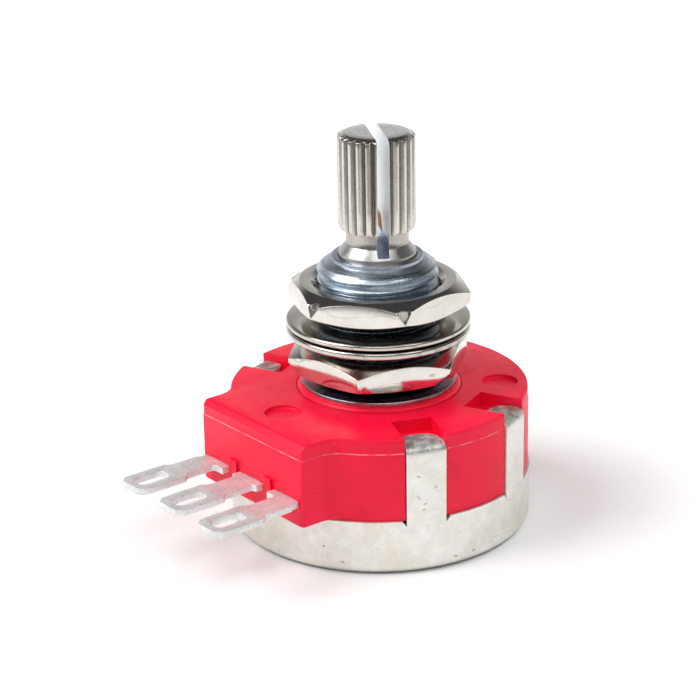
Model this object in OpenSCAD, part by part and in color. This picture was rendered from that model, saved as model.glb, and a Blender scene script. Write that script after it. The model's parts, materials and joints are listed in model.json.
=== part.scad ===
// Rotary potentiometer with a split, splined shaft, in millimetres.
// Origin: the middle of the can's base. +Z runs up the shaft, the terminals point to -Y.
// Directions round the axis are given in degrees from -Y towards +X.

/* [Can] */
// Outside diameter of the can
can_d = 23.7; // [23.2:0.1:24.6]
// Sheet thickness of the can
can_wall = 0.45; // [0.35:0.05:0.55]
// Height of the can's rim above its base
can_h = 4.4; // [4.2:0.1:5.2]
// Radius of the can's bottom edge
can_edge_r = 0.9; // [0.6:0.1:1.2]
// Width of each fixing tab
tab_w = 3.1; // [2.6:0.1:3.4]
// Space between a bent tab's end and the back wall of its notch
tab_gap = 1.39; // [0.9:0.01:1.6]
// Radius inside the tab's bend
tab_bend_r = 0.25; // [0.2:0.05:0.35]
// Cut corner of the tab's end
tab_corner = 0.7; // [0.4:0.1:0.9]
// Width of the relief nick beside each tab
nick_w = 0.32; // [0.2:0.02:0.5]
// Depth of the relief nick beside each tab
nick_h = 0.45; // [0.3:0.05:0.7]

/* [Housing] */
// How far the can's rim stands out beyond the moulded body
rim_step = 0.15; // [0.05:0.05:0.3]
// Gap between the can's inside and what sits in it
can_fit = 0.04; // [0.02:0.01:0.1]
// Wall of the terminal block on both sides of the insert
block_cheek = 0.325; // [0.2:0.025:0.6]
// How far the terminal block stands out beyond the round body
block_out = 0.9; // [0.6:0.05:1.6]
// Space between the can's rim and the terminal block
block_gap = 0.1; // [0.05:0.05:0.3]
// Radius where the block's sides run into the round body
block_fillet = 2; // [1:0.25:2.5]
// Bevel along the block's upper front edge
block_bevel = 0.41; // [0.2:0.05:0.6]
// Cut of the block's upright front corners
block_corner = 0.22; // [0.1:0.02:0.4]
// Height of the upper band, from the parting line to the top
band_h = 1.16; // [0.9:0.02:1.4]
// How far the upper band stands back
band_step = 0.06; // [0.02:0.01:0.15]
// Depth of the notches for the tabs, measured from the top
notch_depth = 1.07; // [0.8:0.05:1.3]
// Length of the notches, inwards from the body's side
notch_len = 3.64; // [3:0.02:4]
// Space on both sides of a tab in its notch
notch_gap = 0.05; // [0.02:0.01:0.15]
// Thickness of the roof under the notches
roof_t = 0.91; // [0.8:0.05:1.3]
// Wall of the housing round its cavity, inside the can
spigot_wall = 1.16; // [1:0.02:1.4]
// Width of the ledge that the wafer lies against
ledge_w = 1.4; // [1:0.1:1.8]
// Height of the chamber above the wafer
chamber_h = 1.78; // [1.7:0.02:2.1]
// Depth to which the housing reaches into the can
spigot_h = 2.2; // [1:0.1:2.6]
// Diameter of the round recesses in the top
dimple_d = 2.85; // [2.4:0.05:3.2]
// Depth of the round recesses in the top
dimple_depth = 0.25; // [0.1:0.05:0.5]
// Distance of the round recesses from the body's side
dimple_in = 2.25; // [2:0.05:2.4]

/* [Bushing] */
// Diameter of the thread, over its crests
thread_d = 9.4; // [9.2:0.05:9.5]
// Length of the bushing above its flange
bush_len = 10; // [9.6:0.1:12]
// How far the flange stands out beyond the thread
flange_out = 1.39; // [1:0.01:1.6]
// Thickness of the flange
flange_t = 0.35; // [0.25:0.05:0.6]
// Height of the moulded ring that carries the flange
ring_h = 0.32; // [0.2:0.02:0.6]
// How far the moulded ring stands out beyond the flange
ring_out = 0.06; // [0.02:0.02:0.2]
// Radius at the foot of the moulded ring
ring_fillet = 0.3; // [0.15:0.05:0.45]
// Wall of the narrow ring at the bushing's top
nose_wall = 0.51; // [0.35:0.01:0.6]
// Height of the narrow ring at the bushing's top
nose_h = 0.35; // [0.2:0.05:0.5]
// Height over which the shoulder falls from the nose to the thread
shoulder_h = 0.8; // [0.6:0.05:1]
// Radius of the rounded shoulder
shoulder_r = 0.55; // [0.3:0.05:0.6]
// How far the hexagon under the flange stands out beyond the thread, at its flats
key_out = 0.1; // [0.05:0.05:0.4]
// Depth of the hexagon under the flange
key_h = 1.1; // [0.8:0.1:1.2]
// How far the bushing's tail, below the hexagon, stays under the thread's radius
tail_under = 0.45; // [0.3:0.05:0.7]
// How far the flared end stands out beyond the tail
flare_out = 0.75; // [0.5:0.05:1]
// Thickness of the flared end
flare_t = 0.25; // [0.2:0.05:0.35]
// How far the backing washer reaches beyond the flange
backing_out = 0.31; // [0.1:0.01:0.8]
// Thickness of the backing washer
backing_t = 0.4; // [0.3:0.05:0.5]

/* [Nuts and washers] */
// Wall of the nuts, from the thread to a flat
nut_wall = 1.65; // [1.5:0.05:2]
// Nut thickness
nut_h = 2.1; // [1.9:0.05:2.3]
// Width of a nut's bevel in the middle of a flat
nut_bevel_w = 0.3; // [0.05:0.05:0.4]
// Slope of the bevel on a nut's upper side
nut_bevel_top = 30; // [25:1:45]
// Slope of the bevel on a nut's lower side
nut_bevel_low = 25; // [20:1:35]
// Radial clearance of the nuts on the thread
nut_clear = 0.05; // [0.02:0.01:0.1]
// Width of the countersink in a nut's faces
nut_sink = 0.5; // [0.3:0.05:0.6]
// Turn of the upper nut
upper_nut_turn = 36.5; // [0:0.5:60]
// Turn of the lower nut
lower_nut_turn = 8; // [0:0.5:60]
// Free thread between the flange and the lower nut
lower_nut_gap = 0.88; // [0.2:0.02:1]
// Space between the lower nut and the lock washer's rim
lock_gap = 0.85; // [0.5:0.05:0.9]
// Space between the flat washer and the upper nut
upper_nut_gap = 0.92; // [0.1:0.02:1]
// How far both washers reach beyond the thread
washer_out = 2.47; // [2.2:0.01:2.8]
// Radial clearance of the flat washer on the thread
washer_clear = 0.15; // [0.05:0.01:0.3]
// Thickness of the flat washer
flat_t = 0.41; // [0.3:0.01:0.5]
// Thickness of the lock washer
lock_t = 0.55; // [0.45:0.01:0.6]
// Width of the lock washer's rim
lock_rim = 1.4; // [1.1:0.05:1.5]
// Number of teeth inside the lock washer
lock_teeth = 10; // [8:1:12]
// Width of a tooth of the lock washer
tooth_w = 1.2; // [1:0.05:1.4]
// Twist of the lock washer's teeth
tooth_tilt = 20; // [15:1:25]

/* [Shaft] */
// Diameter of the shaft in the bushing
shaft_d = 6; // [5.9:0.01:6.1]
// Radial clearance of the shaft in the bushing
shaft_clear = 0.03; // [0.02:0.01:0.06]
// Length of the full diameter that shows above the bushing
journal_proud = 0.26; // [0.1:0.02:0.6]
// Height of the cone down to the neck
cone_h = 0.7; // [0.5:0.05:0.9]
// Depth to which the neck is cut below the shaft's full radius
neck_depth = 0.56; // [0.4:0.01:0.8]
// Height of the neck
neck_h = 1.12; // [0.8:0.02:1.6]
// How far the splines stay below the shaft's full radius
spline_under = 0.025; // [0:0.005:0.05]
// Height of the splined end
spline_h = 7.51; // [6.5:0.1:9]
// Number of splines
spline_n = 24; // [18:1:30]
// Depth of the grooves between the splines
spline_depth = 0.3; // [0.2:0.02:0.36]
// Share of the pitch that a groove takes at the outside
spline_open = 0.68; // [0.5:0.02:0.8]
// Bevel at the lower end of the splines
spline_bevel = 0.15; // [0.05:0.05:0.3]
// Height of the bevel at the shaft's tip
tip_bevel_h = 0.27; // [0.15:0.01:0.4]
// Width of the bevel at the shaft's tip
tip_bevel_w = 0.52; // [0.3:0.02:0.6]
// Width of the slot through the shaft's end
slot_w = 1.02; // [0.8:0.02:1.2]
// Height of the slot's floor above the bushing
slot_floor = 0.42; // [0.3:0.02:0.9]
// Direction of the slot at rest
slot_turn = 60; // [0:1:180]
// How far the collar under the bushing stands out beyond the shaft
collar_out = 1.4; // [1:0.1:1.8]
// Thickness of the collar
collar_t = 0.55; // [0.45:0.05:0.6]
// How much smaller in radius the part is that drives the rotor
drive_under = 0.6; // [0.4:0.1:0.8]
// Depth of the two flats that drive the rotor
drive_flat = 0.5; // [0.3:0.05:0.7]
// Gap between the rotor and the part that drives it
drive_gap = 0.03; // [0.02:0.01:0.05]
// Bevel at the shaft's lower end
foot_bevel = 0.4; // [0.2:0.05:0.5]
// Depth of the groove for the retaining ring
clip_depth = 0.7; // [0.5:0.05:0.8]

/* [Washers inside] */
// Thickness of the friction washer
friction_t = 0.25; // [0.2:0.01:0.3]
// How far the friction washer reaches beyond the collar
friction_out = 0.4; // [0.1:0.05:0.6]
// Thickness of the retaining ring
clip_t = 0.4; // [0.3:0.02:0.5]
// How far the retaining ring stands out of its groove
clip_out = 0.8; // [0.5:0.05:1]
// Mouth of the retaining ring
clip_mouth = 2.2; // [1.8:0.1:2.4]
// Thickness of the thrust pad
pad_t = 0.55; // [0.4:0.05:0.8]
// How far the thrust pad reaches beyond the shaft's end
pad_out = 0.45; // [0.1:0.05:1]
// End play that is left between pieces that turn on each other
play = 0.03; // [0.02:0.01:0.05]

/* [Rotor and wiper] */
// Gap between the rotor's disc and the housing
rotor_gap = 0.6; // [0.55:0.05:0.9]
// Thickness of the rotor's disc
rotor_t = 0.9; // [0.7:0.05:1.1]
// Wall of the rotor's hub
hub_wall = 1; // [0.8:0.05:1.2]
// Space between the rotor's hub and the wafer
hub_gap = 0.22; // [0.15:0.01:0.3]
// Height of the rotor's hub over its disc
hub_h = 1; // [0.9:0.05:1.2]
// Height of the boss under the rotor's disc
boss_h = 0.3; // [0.2:0.05:0.5]
// How far the stop lug stands out of the disc
lug_out = 0.4; // [0.3:0.05:0.4]
// Half of the angle that the stop lug takes
lug_half = 5; // [4:0.5:6]
// Half of the angle that the fixed stop takes
stop_half = 24.5; // [22:0.5:24.5]
// Gap between the rotor's disc and the fixed stop
stop_gap = 0.15; // [0.1:0.01:0.2]
// Diameter of the studs that hold the wiper
stud_d = 0.7; // [0.5:0.05:0.8]
// Height of the studs' heads
stud_head = 0.12; // [0.08:0.01:0.2]
// Width of the wiper's ring
wiper_ring = 1.2; // [1:0.05:1.3]
// Length of a finger's contact end
contact_l = 0.75; // [0.5:0.05:0.9]
// Air between a finger and the film over it
contact_gap = 0.02; // [0.01:0.01:0.04]
// Thickness of the wiper's sheet
wiper_t = 0.15; // [0.1:0.01:0.2]
// Width of the wiper's arm on the track
arm_w = 1.5; // [1.2:0.1:1.8]
// Width of the slit that splits an arm in two fingers
slit_w = 0.2; // [0.15:0.05:0.3]

/* [Wafer] */
// Thickness of the wafer
wafer_t = 0.7; // [0.6:0.05:0.9]
// Gap between the wafer's rim and the housing
wafer_gap = 0.3; // [0.1:0.05:0.4]
// Gap on both sides of the wafer's tongue
tongue_gap = 0.375; // [0.2:0.025:0.6]
// Gap between the rotor's hub and the hole in the wafer
hole_gap = 0.3; // [0.2:0.05:0.5]
// Thickness of the printed track, ring and pads
film_t = 0.05; // [0.04:0.01:0.07]
// Distance of the resistive track from the wafer's rim
track_in = 0.9; // [0.8:0.05:1.1]
// Width of the resistive track
track_w = 1.6; // [1.2:0.1:1.8]
// Direction of the track's first end
track_end = 23; // [22:0.5:24]
// Angle that the silver at a track's end takes
pad_turn = 7; // [5:0.5:8]
// Width of the collector ring
collect_w = 1.2; // [1:0.1:1.4]
// Width of the collector's lead
lead_w = 1.2; // [0.8:0.1:1.4]

/* [Terminals] */
// Thickness of the terminals
term_t = 0.5; // [0.4:0.05:0.6]
// Height of the terminals' underside over the block's underside
term_rise = 1.52; // [1.4:0.05:1.8]
// Distance between the solder heads
head_pitch = 4.95; // [4.6:0.05:5.1]
// Distance between the terminals in the block
root_pitch = 4.33; // [4.2:0.01:4.5]
// Width of a terminal where it passes the block
root_w = 1.9; // [1.6:0.1:2.2]
// Width of the bar that rests on the block's face
bar_w = 3.05; // [2.6:0.05:3.4]
// Length of that bar
bar_l = 0.75; // [0.6:0.05:0.9]
// Width of the neck
neck_w = 2.2; // [1.8:0.05:2.5]
// Distance of the head's shoulders from the block
head_at = 3.65; // [3.2:0.05:4]
// Length of the head
head_l = 4.1; // [3.8:0.05:4.8]
// Width of the head
head_w = 2.98; // [2.6:0.02:3.4]
// Cut corners of the head
head_corner = 0.5; // [0.3:0.05:0.8]
// Metal on both sides of the eye
eye_side = 0.85; // [0.7:0.01:1]
// Length of the eye
eye_l = 2.7; // [2.2:0.05:3]
// Metal between the eye and the head's end
eye_tip = 0.62; // [0.5:0.01:0.8]
// How far a terminal reaches into the cavity
term_in = 0.9; // [0.7:0.05:1]
// Distance of the rivets from the cavity
rivet_out = 0.4; // [0.3:0.05:0.5]
// Diameter of a rivet's shank
rivet_d = 1.2; // [1:0.05:1.4]
// Diameter of a rivet's heads
rivet_head_d = 2; // [1.8:0.05:2.1]
// Thickness of a rivet's heads
rivet_head_t = 0.26; // [0.2:0.02:0.3]
// Space round a rivet's heads
pocket_gap = 0.2; // [0.1:0.05:0.25]
// Gap round a terminal where it passes the insert
term_gap = 0.03; // [0.02:0.01:0.06]
// Gap round the insert in the block's opening
insert_gap = 0.04; // [0.02:0.01:0.08]
// Width of the insert beside the outer terminals
insert_side = 0.695; // [0.6:0.005:0.8]
// Thickness of the insert's front wall
insert_wall = 0.6; // [0.5:0.05:0.7]
// How far the ribs between the terminals stand out
rib_out = 0.22; // [0.1:0.02:0.4]
// Gap between a rib and the terminals' bars
rib_gap = 0.19; // [0.1:0.01:0.4]
// Gap between the housing and the bushing held in it
press_gap = 0.02; // [0.01:0.005:0.03]

/* [Hidden] */
$fn = 96;
eps = 0.01;
ARC_STEPS = 8;
TAB_TURNS = [67.5, 112.5, -67.5, -112.5];
DIMPLE_TURNS = [0, 140, -140];

// Radii and distances from the axis, from the outside inwards
can_r = can_d / 2;
can_inner_r = can_r - can_wall;
body_r = can_r - rim_step;
spigot_r = can_inner_r - can_fit;
cavity_r = spigot_r - spigot_wall;
chamber_r = cavity_r - ledge_w;
notch_back = body_r - notch_len;
tab_end = notch_back + tab_gap;
dimple_at = body_r - dimple_in;
block_y = body_r + block_out;
lip_y = block_y - insert_wall;
wafer_tip = lip_y - insert_gap;
rivet_y = cavity_r + rivet_out;
root_y = cavity_r - term_in;
film_y = root_y - press_gap;
rotor_r = cavity_r - rotor_gap;
stop_r = rotor_r + stop_gap;
wafer_r = cavity_r - wafer_gap;
track_r = wafer_r - track_in - track_w / 2;

// Widths across the terminal block
notch_w = tab_w + 2 * notch_gap;
insert_w = 2 * root_pitch + root_w + 2 * insert_side;
insert_x = insert_w / 2 - insert_gap;
block_w = insert_w + 2 * block_cheek;
tongue_w = insert_w - 2 * tongue_gap;
rib_w = root_pitch - bar_w - 2 * rib_gap;
eye_w = head_w - 2 * eye_side;
head_end = head_at + head_l;
eye_at = head_end - eye_tip - eye_l / 2;

// Radii round the shaft, from the inside outwards
shaft_r = shaft_d / 2;
bore_r = shaft_r + shaft_clear;
neck_r = shaft_r - neck_depth;
spline_r = shaft_r - spline_under;
drive_r = shaft_r - drive_under;
groove_r = drive_r - clip_depth;
collar_r = shaft_r + collar_out;
hub_r = drive_r + hub_wall;
hole_r = hub_r + hole_gap;
collect_r = (hole_r + track_r - track_w / 2) / 2;
nose_r = bore_r + nose_wall;
thread_r = thread_d / 2;
tail_r = thread_r - tail_under;
flange_r = thread_r + flange_out;
backing_r = flange_r + backing_out;
washer_r = thread_r + washer_out;
nut_bore_r = thread_r + nut_clear;
nut_flat_r = thread_r + nut_wall;

// Heights, from the can's base upwards
block_z = can_h + block_gap;
term_z = block_z + term_rise;
wafer_z = term_z + term_t;
wafer_top = wafer_z + wafer_t;
insert_top = wafer_top + insert_gap;
film_z = wafer_z - film_t;
ceiling_z = wafer_top + chamber_h;
notch_z = ceiling_z + roof_t;
housing_top = notch_z + notch_depth;
band_z = housing_top - band_h;
ring_top = housing_top + ring_h;
flange_top = ring_top + flange_t;
lower_nut_z = flange_top + lower_nut_gap;
lock_z = lower_nut_z + nut_h + lock_gap;
lock_mid = lock_z + lock_t / 2;
tooth_half_h = (tooth_w * sin(tooth_tilt) + lock_t * cos(tooth_tilt)) / 2;
flat_z = lock_mid + tooth_half_h + eps;
upper_nut_z = flat_z + flat_t + upper_nut_gap;
bush_top = flange_top + bush_len;

// Heights of what turns
tail_z = ceiling_z - backing_t - flare_t;
friction_z = tail_z - play - friction_t;
collar_top = friction_z - eps;
collar_z = collar_top - collar_t;
hub_top = wafer_z - hub_gap;
rotor_top = hub_top - hub_h;
rotor_z = rotor_top - rotor_t;
boss_z = rotor_z - boss_h;
clip_z = boss_z - clip_t - play;
pad_top = can_wall + pad_t;
shaft_foot = pad_top + play;
cone_z = bush_top + journal_proud;
neck_z = cone_z + cone_h;
spline_z = neck_z + neck_h;
shaft_top = spline_z + spline_h;

// Points of an arc round [x, y], from angle a to angle b
function arc(x, y, r, a, b) =
    [for (i = [0:ARC_STEPS]) [x + r * cos(a + (b - a) * i / ARC_STEPS),
                              y + r * sin(a + (b - a) * i / ARC_STEPS)]];

// A point at radius r in direction t
function at(r, t) = [r * sin(t), -r * cos(t)];

module ring(z, h, r_in, r_out) {
    translate([0, 0, z])
        difference() {
            cylinder(r = r_out, h = h);
            translate([0, 0, -1]) cylinder(r = r_in, h = h + 2);
        }
}

// Everything within half the width w of the direction -Y, from radius a to radius b
module slab(w, a, b, z, h) {
    translate([-w / 2, -b, z]) cube([w, b - a, h]);
}

module can() {
    bend_z = notch_z - tab_bend_r;
    bend_r = can_inner_r - tab_bend_r;
    color("gainsboro") {
        difference() {
            rotate_extrude()
                polygon(concat(
                    [[0, 0]],
                    arc(can_r - can_edge_r, can_edge_r, can_edge_r, -90, 0),
                    [[can_r, can_h], [can_inner_r, can_h]],
                    arc(can_r - can_edge_r, can_edge_r, can_edge_r - can_wall, 0, -90),
                    [[0, can_wall]]));
            for (t = TAB_TURNS, s = [-1, 1])
                rotate([0, 0, t])
                    translate([s * (tab_w + nick_w) / 2, 0, 0])
                        slab(nick_w, can_inner_r - 2, can_r + 1, can_h - nick_h, 1);
        }
        for (t = TAB_TURNS)
            rotate([0, 0, t])
                intersection() {
                    rotate_extrude()
                        polygon(concat(
                            [[can_inner_r, can_h - eps], [can_r, can_h - eps]],
                            arc(bend_r, bend_z, tab_bend_r + can_wall, 0, 90),
                            [[tab_end - 1, notch_z + can_wall], [tab_end - 1, notch_z]],
                            arc(bend_r, bend_z, tab_bend_r, 90, 0)));
                    translate([0, 0, can_h - 1])
                        linear_extrude(height = housing_top)
                            polygon([[-tab_w / 2, -can_r - 1], [tab_w / 2, -can_r - 1],
                                [tab_w / 2, -tab_end - tab_corner], [tab_w / 2 - tab_corner, -tab_end],
                                [tab_corner - tab_w / 2, -tab_end], [-tab_w / 2, -tab_end - tab_corner]]);
                }
    }
}

// Plan of the terminal block and of the fillets that join it to the round body
module block_plan(inset) {
    x = block_w / 2 - inset;
    fillet_x = x + block_fillet;
    fillet_y = -sqrt(pow(body_r - inset + block_fillet, 2) - pow(fillet_x, 2));
    polygon([[-x, 0], [-x, block_corner - block_y], [block_corner - x, -block_y],
        [x - block_corner, -block_y], [x, block_corner - block_y], [x, 0]]);
    for (s = [-1, 1])
        difference() {
            polygon([[0, 0], [0, fillet_y], [s * fillet_x, fillet_y]]);
            translate([s * fillet_x, fillet_y]) circle(r = block_fillet - eps);
        }
}

// Pocket above or below the rivets
module rivet_pockets(z, h) {
    for (i = [-1:1])
        translate([i * root_pitch, -rivet_y, z]) cylinder(d = rivet_head_d + 2 * pocket_gap, h = h);
}

module tab_seat() {
    edge = tab_bend_r + 2 * notch_gap;
    slab(notch_w, notch_back, can_r + 1, notch_z, notch_depth + 1);
    difference() {
        slab(notch_w, spigot_r - 2, can_r + 1, can_h - 1, notch_z - can_h + 1 + eps);
        translate([0, 0, can_h - 2]) cylinder(r = spigot_r + can_fit / 2, h = notch_z);
    }
    translate([-notch_w / 2, 0, 0])
        rotate([90, 0, 90])
            linear_extrude(height = notch_w)
                polygon([[edge - spigot_r, notch_z + eps], [-spigot_r - edge, notch_z + eps],
                    [-spigot_r - edge, notch_z - 2 * edge]]);
}

module housing() {
    ring_r = flange_r + ring_out;
    color("crimson")
        difference() {
            union() {
                translate([0, 0, can_h - spigot_h]) cylinder(r = spigot_r, h = spigot_h + eps);
                translate([0, 0, can_h]) cylinder(r = body_r, h = band_z - can_h + eps);
                translate([0, 0, block_z])
                    linear_extrude(height = band_z - block_z + eps) block_plan(0);
                translate([0, 0, band_z])
                    cylinder(r = body_r - band_step, h = housing_top - band_z);
                translate([0, 0, band_z])
                    linear_extrude(height = housing_top - band_z) block_plan(band_step);
                rotate_extrude()
                    polygon(concat(
                        [[0, housing_top - 1], [ring_r + ring_fillet, housing_top - 1]],
                        arc(ring_r + ring_fillet, housing_top + ring_fillet, ring_fillet, -90, -180),
                        [[ring_r, ring_top], [0, ring_top]]));
            }
            translate([-block_w, 0, 0])
                rotate([90, 0, 90])
                    linear_extrude(height = 2 * block_w)
                        polygon([[block_bevel - block_y, housing_top], [-block_y - 1, housing_top],
                            [-block_y - 1, housing_top - block_bevel - 1]]);
            for (t = TAB_TURNS)
                rotate([0, 0, t]) tab_seat();
            for (t = DIMPLE_TURNS)
                translate(concat(at(dimple_at, t), housing_top - dimple_depth))
                    cylinder(d = dimple_d, h = 1);
            translate([0, 0, can_h - spigot_h - 1])
                cylinder(r = cavity_r, h = wafer_top - can_h + spigot_h + 1);
            translate([0, 0, wafer_top - eps]) cylinder(r = chamber_r, h = ceiling_z - wafer_top + eps);
            translate([-insert_w / 2, -block_y - 1, block_z - 1])
                cube([insert_w, block_y + 1 - chamber_r, insert_top + insert_gap - block_z + 1]);
            rivet_pockets(wafer_top, rivet_head_t + pocket_gap);
            cylinder(r = tail_r + press_gap, h = ring_top + 1);
            translate([0, 0, ring_top - key_h])
                rotate([0, 0, 30])
                    cylinder(r = (thread_r + key_out + press_gap) / cos(30), h = key_h + 1, $fn = 6);
        }
}

module terminal_base() {
    color("firebrick") {
        difference() {
            union() {
                translate([-insert_x, -block_y, block_z])
                    cube([2 * insert_x, block_y - cavity_r - insert_gap, term_rise]);
                translate([-insert_x, -block_y, term_z - eps])
                    cube([2 * insert_x, insert_wall, insert_top - term_z + eps]);
                for (s = [-1, 1])
                    translate([s * root_pitch / 2 - rib_w / 2, -block_y - rib_out, term_z + rib_out])
                        cube([rib_w, rib_out + eps, insert_top - term_z - rib_out]);
                translate([0, 0, block_z])
                    linear_extrude(height = rotor_top - block_z)
                        difference() {
                            polygon([[0, 0], at(block_y, -stop_half), at(block_y, stop_half)]);
                            circle(r = stop_r);
                        }
            }
            rivet_pockets(term_z - rivet_head_t - pocket_gap, rivet_head_t + pocket_gap + 1);
            for (i = [-1:1])
                translate([i * root_pitch - root_w / 2 - term_gap, -block_y - 1, term_z])
                    cube([root_w + 2 * term_gap, insert_wall + 2, term_t + term_gap]);
        }
    }
}

module bushing() {
    nose_foot = bush_top - nose_h;
    thread_end = nose_foot - shoulder_h;
    color("lightsteelblue")
        difference() {
            union() {
                rotate_extrude()
                    polygon(concat(
                        [[0, tail_z], [tail_r + flare_out, tail_z],
                         [tail_r + flare_out, tail_z + flare_t], [tail_r, tail_z + flare_t],
                         [tail_r, ring_top], [flange_r, ring_top], [flange_r, flange_top],
                         [thread_r, flange_top], [thread_r, thread_end]],
                        arc(nose_r + nose_wall / 5, nose_foot - shoulder_r, shoulder_r, 0, 90),
                        [[nose_r, nose_foot], [nose_r, bush_top], [0, bush_top]]));
                translate([0, 0, ring_top - key_h])
                    rotate([0, 0, 30]) cylinder(r = (thread_r + key_out) / cos(30), h = key_h, $fn = 6);
            }
            translate([0, 0, tail_z - 1]) cylinder(r = bore_r, h = bush_top - tail_z + 2);
        }
}

module backing_washer() {
    color("silver") ring(ceiling_z - backing_t, backing_t, tail_r + press_gap, backing_r);
}

module nut(z, turn) {
    face_r = nut_flat_r - nut_bevel_w;
    corner_r = nut_flat_r / cos(30);
    low = (corner_r + 1 - face_r) * tan(nut_bevel_low);
    high = nut_h - (corner_r + 1 - face_r) * tan(nut_bevel_top);
    color("silver")
        translate([0, 0, z])
            difference() {
                intersection() {
                    rotate([0, 0, turn]) cylinder(r = corner_r, h = nut_h, $fn = 6);
                    rotate_extrude()
                        polygon([[0, -eps], [face_r - 2 * eps, -eps], [corner_r + 1, low],
                            [corner_r + 1, nut_h + 1], [0, nut_h + 1]]);
                    rotate_extrude()
                        polygon([[0, -1], [corner_r + 1, -1], [corner_r + 1, high],
                            [face_r - 2 * eps, nut_h + eps], [0, nut_h + eps]]);
                }
                translate([0, 0, -1]) cylinder(r = nut_bore_r, h = nut_h + 2);
                translate([0, 0, nut_h - nut_sink])
                    cylinder(r1 = nut_bore_r, r2 = nut_bore_r + 2 * nut_sink, h = 2 * nut_sink);
                translate([0, 0, -nut_sink])
                    cylinder(r1 = nut_bore_r + 2 * nut_sink, r2 = nut_bore_r, h = 2 * nut_sink);
            }
}

module lower_nut() {
    nut(lower_nut_z, lower_nut_turn);
}

module upper_nut() {
    nut(upper_nut_z, upper_nut_turn);
}

module lock_washer() {
    rim_in = washer_r - lock_rim;
    tooth_in = thread_r + press_gap;
    tooth_out = rim_in + lock_rim / 7;
    color("silver") {
        ring(lock_z, lock_t, rim_in, washer_r);
        for (i = [0:lock_teeth - 1])
            rotate([0, 0, 360 / lock_teeth * i])
                translate([0, -(tooth_in + tooth_out) / 2, lock_mid])
                    rotate([0, tooth_tilt, 0])
                        cube([tooth_w, tooth_out - tooth_in, lock_t], center = true);
    }
}

module flat_washer() {
    color("silver") ring(flat_z, flat_t, thread_r + washer_clear, washer_r);
}

// One terminal: its root and bar sit at bar_x, its neck and head at head_x
module terminal(bar_x, head_x) {
    y = -block_y;
    step = (head_w - neck_w) / 2;
    color("whitesmoke")
        translate([0, 0, term_z])
            linear_extrude(height = term_t)
                difference() {
                    union() {
                        translate([bar_x - root_w / 2, y - eps]) square([root_w, block_y - root_y + eps]);
                        translate([bar_x - bar_w / 2, y - bar_l]) square([bar_w, bar_l]);
                        translate([head_x - neck_w / 2, y - head_at]) square([neck_w, head_at - bar_l / 2]);
                        polygon([[head_x - neck_w / 2, y - head_at + step],
                            [head_x - head_w / 2, y - head_at],
                            [head_x - head_w / 2, y - head_end + head_corner],
                            [head_x - head_w / 2 + head_corner, y - head_end],
                            [head_x + head_w / 2 - head_corner, y - head_end],
                            [head_x + head_w / 2, y - head_end + head_corner],
                            [head_x + head_w / 2, y - head_at],
                            [head_x + neck_w / 2, y - head_at + step]]);
                    }
                    for (s = [-1, 1])
                        translate([head_x, y - eye_at + s * (eye_l - eye_w) / 2]) circle(d = eye_w);
                    translate([head_x - eye_w / 2 + eps, y - eye_at - (eye_l - eye_w) / 2])
                        square([eye_w - 2 * eps, eye_l - eye_w]);
                    translate([bar_x, -rivet_y]) circle(d = rivet_d);
                }
}

module terminal_left() {
    terminal(-root_pitch, -head_pitch);
}

module terminal_wiper() {
    terminal(0, 0);
}

module terminal_right() {
    terminal(root_pitch, head_pitch);
}

module rivet(x) {
    color("goldenrod")
        translate([x, -rivet_y, 0]) {
            translate([0, 0, term_z - rivet_head_t]) cylinder(d = rivet_head_d, h = rivet_head_t);
            translate([0, 0, term_z - eps]) cylinder(d = rivet_d, h = term_t + wafer_t + 2 * eps);
            translate([0, 0, wafer_top]) cylinder(d = rivet_head_d - 0.1, h = rivet_head_t);
        }
}

module rivet_left() {
    rivet(-root_pitch);
}

module rivet_wiper() {
    rivet(0);
}

module rivet_right() {
    rivet(root_pitch);
}

module element_wafer() {
    color("saddlebrown")
        translate([0, 0, wafer_z])
            linear_extrude(height = wafer_t)
                difference() {
                    union() {
                        circle(r = wafer_r);
                        translate([-tongue_w / 2, -wafer_tip]) square([tongue_w, wafer_tip]);
                    }
                    circle(r = hole_r);
                    for (i = [-1:1])
                        translate([i * root_pitch, -rivet_y]) circle(d = rivet_d);
                }
}

// Part of a flat ring on the wafer's underside, from direction a to direction b
module film_arc(r, w, a, b) {
    translate([0, 0, film_z])
        rotate([0, 0, a - 90])
            rotate_extrude(angle = b - a) translate([r - w / 2, 0]) square([w, film_t]);
}

module resistive_track() {
    color("dimgray") film_arc(track_r, track_w, track_end, 360 - track_end);
}

// Silver pad between the track's end and a terminal; s is its side
module end_pad(s) {
    middle = s * (track_end - pad_turn / 2);
    color("lightgray") {
        film_arc(track_r, track_w, middle - pad_turn / 2, middle + pad_turn / 2);
        translate([0, 0, film_z])
            linear_extrude(height = film_t)
                polygon([at(track_r, middle - s * pad_turn / 3), at(track_r, middle + s * pad_turn / 3),
                    [s * (root_pitch + root_w / 2), -film_y], [s * (root_pitch - root_w / 2), -film_y]]);
    }
}

module end_pad_left() {
    end_pad(-1);
}

module end_pad_right() {
    end_pad(1);
}

module collector_ring() {
    color("lightgray") {
        ring(film_z, film_t, collect_r - collect_w / 2, collect_r + collect_w / 2);
        slab(lead_w, collect_r, film_y, film_z, film_t);
    }
}

module thrust_pad() {
    color("tan") translate([0, 0, can_wall]) cylinder(r = drive_r + pad_out, h = pad_t);
}

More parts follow.
